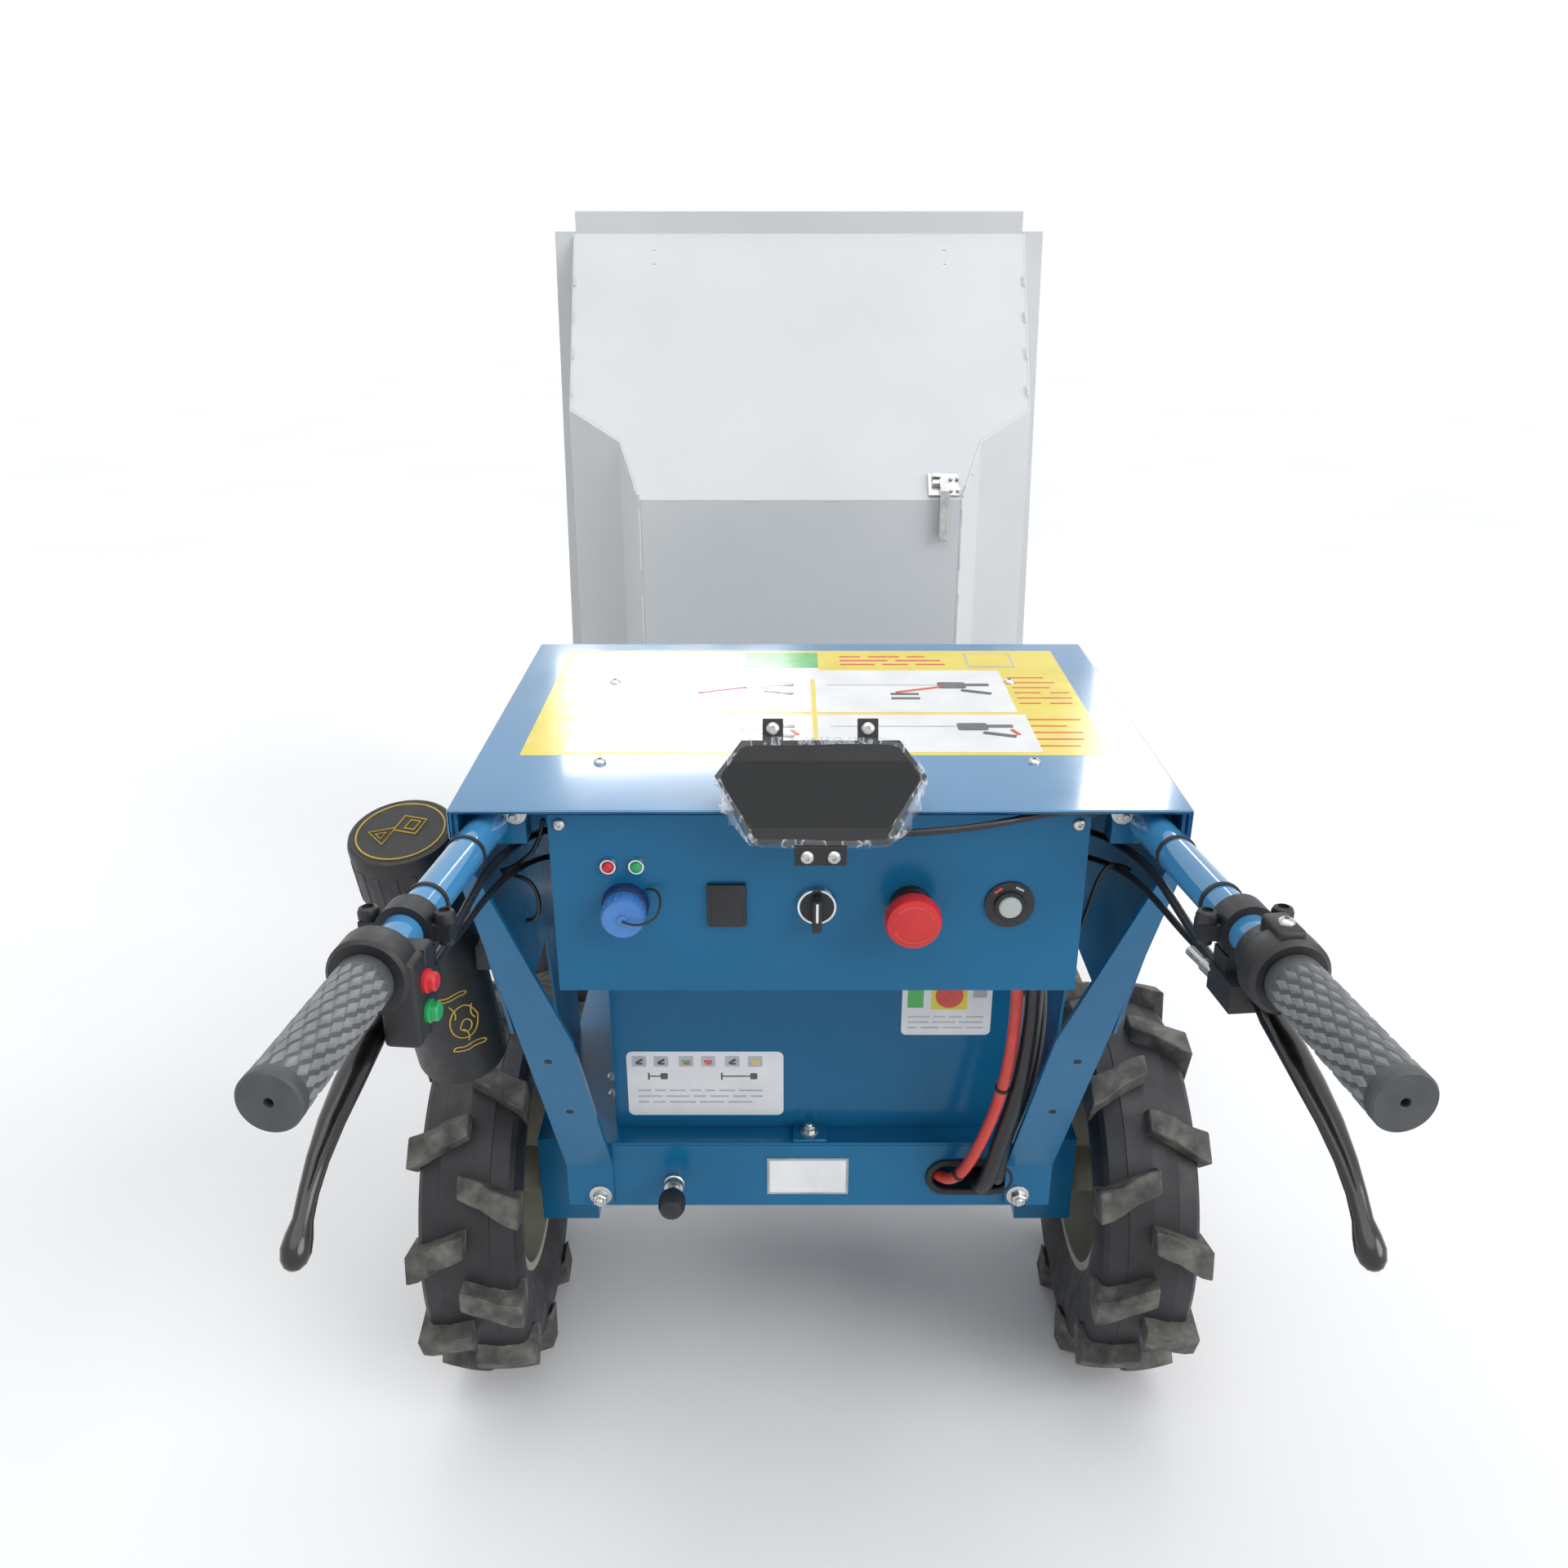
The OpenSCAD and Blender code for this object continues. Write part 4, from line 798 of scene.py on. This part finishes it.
bmesh.ops.transform(bm, matrix=DISPLAY, verts=bm.verts)
wrap = add_piece("display_film", bm, [film], crease=180)
rounded = wrap.modifiers.new("soft folds", "SUBSURF")
rounded.levels = rounded.render_levels = 1

# Handlebars: two blue steel tubes held under the cover, each with a rubber grip, a round pod, a
# split clamp with two bolts and a curved brake lever with a ball end.

tube_blue = finish("tube paint", two_tone((64, 136, 186), (74, 146, 195)), (0.07, 0.13), patch=9,
                   grain=300, bump=0.05, coat=0.5)
grip_rubber = finish("grip rubber", two_tone((120, 124, 126), (136, 140, 142)), (0.45, 0.6),
                     patch=60, grain=1200, bump=0.3)
grip_base = finish("grip base", two_tone((76, 79, 81), (88, 91, 93)), (0.5, 0.65), patch=60,
                   grain=1200, bump=0.3)
grip_cap = finish("grip cap", two_tone((62, 65, 67), (72, 75, 77)), (0.45, 0.6), patch=60,
                  grain=1200, bump=0.3)
lever_black = finish("lever coat", two_tone((9, 9, 10), (15, 15, 16)), (0.18, 0.3), patch=30,
                     grain=500, bump=0.05, coat=0.3)
GRIP_END, TUBE_IN = Vector((263, -687.5, 803)), Vector((233.5, -376, 790))
GRIP_L, TUBE_L, TUBE_R, GRIP_R = 117.0, 523.2, 12.5, 16.75
inward = TUBE_IN - GRIP_END
yaw = math.atan2(-inward.x, inward.y)
pitch = math.atan2(inward.z, math.hypot(inward.x, inward.y))
LATHE = Matrix.Rotation(-math.pi / 2, 4, "X")
SPINE = [(158, -36, 6.0, 5.0), (140, -39, 8.5, 6.0), (117, -43.5, 9.0, 5.4), (92, -50, 8.8, 4.8),
         (68, -57.5, 7.6, 4.6), (48, -67, 6.2, 4.6), (34, -77, 5.4, 4.6), (25, -86, 5.4, 5.0),
         (19, -91.5, 7.2, 6.8), (14, -96, 7.9, 7.5), (10, -99.7, 6.6, 6.2),
         (7.6, -102, 4.0, 3.8), (6.8, -102.8, 1.4, 1.4)]


def at_grip(side):
    """A place at the end of a grip, with Y forward along the tube and X away from the machine."""
    place = (Matrix.Translation(GRIP_END) @ Matrix.Rotation(yaw, 4, "Z")
             @ Matrix.Rotation(pitch, 4, "X"))
    return Matrix.Scale(side, 4, (1, 0, 0)) @ place


for side, hand in ((-1, "left"), (1, "right")):
    grip_place = at_grip(side)
    bm = bmesh.new()
    turned(bm, [(10.5, 8), (12, 8), (TUBE_R, 8.6), (TUBE_R, 8 + TUBE_L), (10.5, 8 + TUBE_L),
                (10.5, 8)],
           grip_place @ LATHE, 48, 0)
    for along in (212, 286):
        turned(bm, [(TUBE_R, along), (TUBE_R + 1.2, along + 0.2), (TUBE_R + 1.2, along + 3.4),
                    (TUBE_R, along + 3.6)], grip_place @ LATHE, 32, 1)
        block(bm, (-3, along, TUBE_R), (3, along + 4, TUBE_R + 4), 0.6, 1, 1,
              grip_place @ Matrix.Rotation(2.4, 4, "Y"))
    add_piece(f"handle_tube_{hand}", bm, [tube_blue, soft_rubber],
              stands_for=(f"handle_{hand}",))

    bm = bmesh.new()
    turned(bm, [(0, 6), (2.5, 6), (2.5, 0.4), (3, 0), (15.6, 0), (GRIP_R, 1.2), (GRIP_R, 7),
                (15.9, 8.5), (15.4, 10), (15.4, 106), (16.4, 108), (16.4, 115), (15.6, GRIP_L),
                (TUBE_R, GRIP_L)],
           grip_place @ LATHE, 48, 0)
    for face in bm.faces:
        along = (grip_place.inverted() @ face.calc_center_median()).y
        face.material_index = 1 if 8.6 < along < 107 else 2
    for ring in range(10):
        for step in range(14):
            angle = 2 * math.pi * (step + 0.5 * (ring % 2)) / 14
            part = bmesh.new()
            bmesh.ops.create_cone(part, cap_ends=True, segments=4, radius1=1.0, radius2=0.55,
                                  depth=1.0)
            spot = (grip_place @ Matrix.Rotation(angle, 4, "Y")
                    @ Matrix.Translation((0, 14.5 + ring * 9.6, 15.75))
                    @ Matrix.Rotation(0.16, 4, "Z") @ Matrix.Diagonal((2.9, 8.4, 1.5, 1)))
            pour(bm, part, spot)
    add_piece(f"grip_moulding_{hand}", bm, [grip_rubber, grip_base, grip_cap],
              stands_for=(f"grip_{hand}",))

    pod_bm = bmesh.new()
    if side < 0:
        turned(pod_bm, [(TUBE_R, 117), (21.5, 117), (23.6, 119), (23.7, 136), (22, 139),
                        (TUBE_R, 139)],
               grip_place @ LATHE, 48, 0)
        block(pod_bm, (-26, 119, -44), (-5, 153, 9), 3.0, 3, 0, grip_place)
        block(pod_bm, (-26.4, 137, -44.2), (-4.6, 138, 9.2), 0.3, 1, 0, grip_place)
        for height, colour in ((-9, 1), (-28, 2)):
            turned(pod_bm, [(0, 0), (7, 0), (7, 2), (5.8, 2.6), (5.6, 6), (4.6, 7), (0, 7)],
                   grip_place @ facing((-26, 135, height), (-1, 0, 0)), 24, colour)
        add_piece("switch_pod_moulding", pod_bm, [black_plastic, red_plastic, green_plastic],
                  stands_for=("switch_pod",))
    else:
        turned(pod_bm, [(TUBE_R, 117), (20.5, 117), (23.4, 119.5), (23.7, 124), (23.7, 134),
                        (22, 138), (19, 141), (18, 151), (TUBE_R, 151)], grip_place @ LATHE, 48, 0)
        block(pod_bm, (-8, 121, 0), (8, 147, 27), 3.0, 3, 0, grip_place)
        turned(pod_bm, DOME, grip_place @ facing((0, 132, 27), (0, 0, 1)), 20, 1)
        add_piece("throttle_moulding", pod_bm, [black_plastic, zinc],
                  stands_for=("throttle_pod",))

    lever_bm = bmesh.new()
    loops = []
    for i, (y, z, wide, thick) in enumerate(SPINE):
        before, after = SPINE[max(i - 1, 0)], SPINE[min(i + 1, len(SPINE) - 1)]
        along = Vector((0, after[0] - before[0], after[1] - before[1]))
        ring = bmesh.ops.create_circle(lever_bm, cap_ends=False, segments=20, radius=1.0)
        spot = (Matrix.Translation((5.5, y, z)) @ facing((0, 0, 0), along)
                @ Matrix.Diagonal((wide, thick, 1, 1)))
        bmesh.ops.transform(lever_bm, matrix=grip_place @ spot, verts=ring["verts"])
        loops.append(list({e for v in ring["verts"] for e in v.link_edges}))
    for a, b in zip(loops, loops[1:]):
        bmesh.ops.bridge_loops(lever_bm, edges=a + b)
    bmesh.ops.holes_fill(lever_bm, edges=loops[0] + loops[-1], sides=24)
    add_piece(f"brake_blade_{hand}", lever_bm, [lever_black],
              stands_for=(f"brake_lever_{hand}",))

soften("lever_clamps", black_plastic, 1.4, 3)
bm = bmesh.new()
for side in (-1, 1):
    grip_place = at_grip(side)
    for x in (-23, 23):
        turned(bm, [(0, -9), (4.6, -9), (4.6, -5), (3, -5), (3, 5), (6.4, 5), (6.6, 9), (5.6, 11.5),
                    (3.4, 12.6), (3.2, 10.5), (0, 10.5)],
               grip_place @ Matrix.Translation((x, 181, 0)), 24, 0)
    turned(bm, [(0, 0), (5.2, 0), (5.2, 3), (4.2, 4.4), (0, 4.4)],
           grip_place @ facing((4, 164, -26), (0, 0, 1)), 20, 1)
    if side > 0:
        turned(bm, [(0, 0), (4.5, 0), (4.5, 10), (3.4, 11), (3.4, 26), (2.2, 27), (0, 27)],
               grip_place @ facing((-11, 188, -34), (-0.2, 1, 0.1)), 24, 1)
add_piece("clamp_bolts", bm, [black_plastic, zinc])

# Cables: the red and black battery cables pass from the console into the beam, and thin control
# cables join the levers and the display to the console. Small ties hold them.

red_sheath = finish("red sheath", two_tone((198, 52, 42), (214, 66, 54)), (0.3, 0.42), patch=30,
                    grain=500, bump=0.08)
black_sheath = finish("black sheath", two_tone((22, 22, 24), (32, 32, 34)), (0.3, 0.45), patch=30,
                      grain=500, bump=0.1)
RED_ROUTE = [(158, -268, 660), (158, -268, 648), (162, -261, 630), (169, -248, 598),
             (173, -229, 545), (174, -211, 490), (168, -199, 435), (157, -189, 386),
             (147, -180, 352), (137, -171, 333), (128, -158, 324), (118, -140, 320)]
THICK_ROUTE = [(175.5, -264, 660), (175.5, -264, 648), (179, -256, 630), (184, -244, 598),
               (189, -223, 540), (189, -206, 480), (183, -196, 430), (175, -190, 385),
               (169, -186, 350), (165, -176, 328), (163, -160, 320), (161, -138, 318)]
THIN_ROUTE = [(178, -236, 660), (178, -236, 648), (184, -232, 630), (191, -222, 598),
              (200, -205, 540), (201, -191, 480), (195, -181, 430), (183, -176, 385),
              (181, -173, 350), (181, -168, 332), (181, -158, 322), (180, -138, 318)]
BRAKE_ROUTE = [(236, -499, 766), (235, -470, 763), (232, -430, 766), (228, -390, 770),
               (222, -350, 767), (215, -310, 760), (207, -280, 752), (198, -268, 749),
               (185.4, -266, 748)]
THROTTLE_ROUTE = [(247, -499, 758), (243, -470, 751), (236, -430, 750), (229, -390, 752),
                  (221, -350, 750), (212, -315, 743), (204, -292, 736), (196, -284, 733),
                  (185.4, -283, 732)]
DISPLAY_ROUTE = [(30, -381, 797), (45, -381, 797), (62, -381, 797.5), (80, -380.5, 798.5),
                 (100, -379, 800), (120, -375, 801.5), (140, -367, 802), (160, -359, 802),
                 (176, -355, 802), (192, -354, 799)]
bm = bmesh.new()
strand(bm, RED_ROUTE, 5.4, 6)
for a, b in ((RED_ROUTE[5], RED_ROUTE[6]), (RED_ROUTE[8], RED_ROUTE[9])):
    along = Vector(b) - Vector(a)
    turned(bm, [(5.2, -2), (6.4, -1.8), (6.4, 1.8), (5.2, 2)],
           facing((Vector(a) + Vector(b)) / 2, along), 24, 1)
add_piece("red_cable_sheath", bm, [red_sheath, soft_rubber],
          stands_for=("red_cable",))
bm = bmesh.new()
strand(bm, THICK_ROUTE, 8, 6)
strand(bm, THIN_ROUTE, 6, 6)
add_piece("black_cable_sheaths", bm, [black_sheath], stands_for=("black_cables",))
bm = bmesh.new()
for side in (-1, 1):
    for route, r in ((BRAKE_ROUTE, 3.0), (THROTTLE_ROUTE, 2.5)):
        strand(bm, [(side * x, y, z) for x, y, z in route], r, 4)
strand(bm, DISPLAY_ROUTE, 2.5, 4)
for points in ([(-196, -334, 786), (-200, -332, 764), (-222, -328, 744), (-231, -326, 741)],
               [(-231, -322, 737), (-212, -328, 738), (-203, -332, 722), (-206, -330, 702),
                (-216, -322, 698)],
               [(228, -326, 742), (214, -332, 752), (204, -334, 742), (200, -330, 716),
                (197, -322, 690)]):
    strand(bm, points, 1.6, 3)
add_piece("control_cable_sheaths", bm, [black_sheath],
          stands_for=("control_cables",))

# Document tube: a black moulded tube for papers that hangs beside the console, with a push-on lid.
# A gold ring and two outlines are printed on the lid, and a line drawing on the tube.

gold_print = finish("gold print", two_tone((196, 164, 52), (214, 184, 72)), (0.35, 0.45), patch=60,
                    grain=900, bump=0.03)
PAPER_LOW, PAPER_HIGH = Vector((-325, -145, 460)), Vector((-338, -210, 720))
PAPER_L = (PAPER_HIGH - PAPER_LOW).length
paper_place = facing(PAPER_LOW, PAPER_HIGH - PAPER_LOW)
bm = bmesh.new()
turned(bm, [(0, 0), (36, 0), (40, 1.5), (41, 5), (41, PAPER_L - 58), (38.5, PAPER_L - 57),
            (38.5, PAPER_L - 30)], paper_place, 64, 0)
block(bm, (-313, -190, 575), (-250, -166, 600), 2.0, 2, 0)
spiral = [(110, 98), (104, 112), (92, 120), (78, 118), (68, 108), (64, 96), (66, 84), (76, 76),
          (90, 74), (102, 80), (108, 90)]
figures = [(spiral, True), ([(78, 90), (84, 100), (92, 100), (98, 92), (94, 84), (84, 82)], True),
           ([(52, 132), (70, 130), (86, 134), (100, 132), (101, 137), (86, 139), (70, 135),
             (53, 137)], True),
           ([(60, 60), (78, 56), (94, 60), (112, 54), (113, 60), (94, 66), (78, 62), (62, 66)],
            True),
           ([(70, 124), (80, 112), (74, 104)], False), ([(104, 116), (96, 104), (104, 96)], False),
           ([(86, 70), (92, 80), (82, 88)], False)]
for points, closed in figures:
    around = [(math.radians(243 + a * 0.82), 42 + (h - 56) * 0.86) for a, h in points]
    strand(bm, [paper_place @ Vector((41.1 * math.cos(a), 41.1 * math.sin(a), h))
                for a, h in around], 0.7, 2, closed, 1)
add_piece("paper_tube", bm, [black_plastic, gold_print],
          stands_for=("document_tube",))

bm = bmesh.new()
lid = PAPER_L - 56
turned(bm, [(41, lid), (43.4, lid), (44, lid + 1), (44, lid + 50), (42.6, lid + 54),
            (40.4, lid + 55.2), (39, lid + 54.6), (0, lid + 54.6)], paper_place, 72, 0)
for step in range(18):
    rib = paper_place @ Matrix.Rotation(2 * math.pi * step / 18, 4, "Z")
    block(bm, (43, -4.6, lid + 2), (44.4, 4.6, lid + 40), 0.6, 1, 0, rib)
lid_face = (paper_place @ Matrix.Translation((0, 0, lid + 54.8))
            @ Matrix.Rotation(math.radians(78), 4, "Z"))
circle = [math.radians(a) for a in range(0, 360, 10)]
strand(bm, [lid_face @ Vector((36 * math.cos(a), 36 * math.sin(a), 0)) for a in circle], 0.8, 2,
       True, 1)
for outline in ([(-20, 4), (2, 6), (-11, 24)], [(-14.5, 9.5), (-6, 10), (-11, 17)],
                [(1, -14), (20, -12), (18, 8), (-1, 6)], [(5, -9.5), (16, -8.5), (15, 0), (4, -1)]):
    strand(bm, [lid_face @ Vector((x, y, 0)) for x, y in outline], 0.9, 2, True, 1, smooth=False)
add_piece("paper_tube_lid", bm, [black_plastic, gold_print],
          stands_for=("document_tube_lid",))

# Skip: white-painted steel sheets welded along their edges, with turned-out rims, hinge lugs under
# the floor and a zinc-plated latch at the foot of the rear wall.

white_paint = finish("white paint", two_tone((202, 206, 208), (210, 213, 215)), (0.3, 0.42),
                     patch=3, grain=220, bump=0.08, depth=0.0005)
for node in ("skip_floor", "skip_front", "skip_rear_wall", "skip_side_left", "skip_side_right",
             "skip_hinges"):
    soften(node, white_paint, 0.9, 2, body="skip")
soften("skip_latch", zinc, 0.8, 2, body="skip")

TIP = math.radians(92)
pivot_low, pivot_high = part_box("pivot_pins")
pivot = Vector((0, ((pivot_low.y + pivot_high.y) / 2 - AXLE_Y) / MM,
                (pivot_low.z + pivot_high.z) / 2 / MM))
tipped = Matrix.Translation(pivot) @ Matrix.Rotation(-TIP, 4, "X")


def weld(bm, start, end, pieces, bead=24.0, thick=1.6):
    """A row of short uneven beads of weld between two points of the carried skip."""
    start, end = Vector(start), Vector(end)
    step = (end - start) / pieces
    for i in range(pieces):
        first = start + step * i
        points = []
        for n in range(7):
            drift = Vector([random.uniform(-0.7, 0.7) for _ in range(3)])
            points.append(first + step.normalized() * (bead * n / 6) + drift)
        strand(bm, [tipped @ p for p in points], thick * random.uniform(0.8, 1.2), 2)


bm = bmesh.new()
for side in (-1, 1):
    weld(bm, (side * 243, -325, 51), (side * 243, 60, 51), 3, 92, 1.5 if side > 0 else 3.0)
    weld(bm, (side * 243, -345, 50), (side * 276, -400, 117), 2, 22)
    weld(bm, (side * 352, -480, 168), (side * 361, -690, 352), 4, 20, 1.1)
    weld(bm, (side * 243, 85, 52), (side * 276, 140, 117), 2, 22)
weld(bm, (-200, -338, 50), (150, -338, 50), 3, 24, 0.9)
add_piece("weld_beads", bm, [white_paint], "skip")

bm = bmesh.new()
wall_dir = Vector((0, 381, -331)).normalized()
wall_out = Vector((0, -331, -381)).normalized()
foot = Vector((0, -339, 50))
for x in (230, 240):
    for up in (14, 34):
        point = Vector((x - 4, 0, 0)) + foot - wall_dir * up + wall_out * 4
        hex_bolt(bm, tipped @ point, tipped.to_3x3() @ wall_out, 6, 0, washer=False)
for up in (24, 36):
    point = Vector((204, 0, 0)) + foot - wall_dir * up + wall_out * 4
    block(bm, (-7, -4, 0), (7, 4, 9), 1.0, 1, 0, tipped @ facing(point, wall_out))
add_piece("latch_bolts", bm, [zinc], "skip")
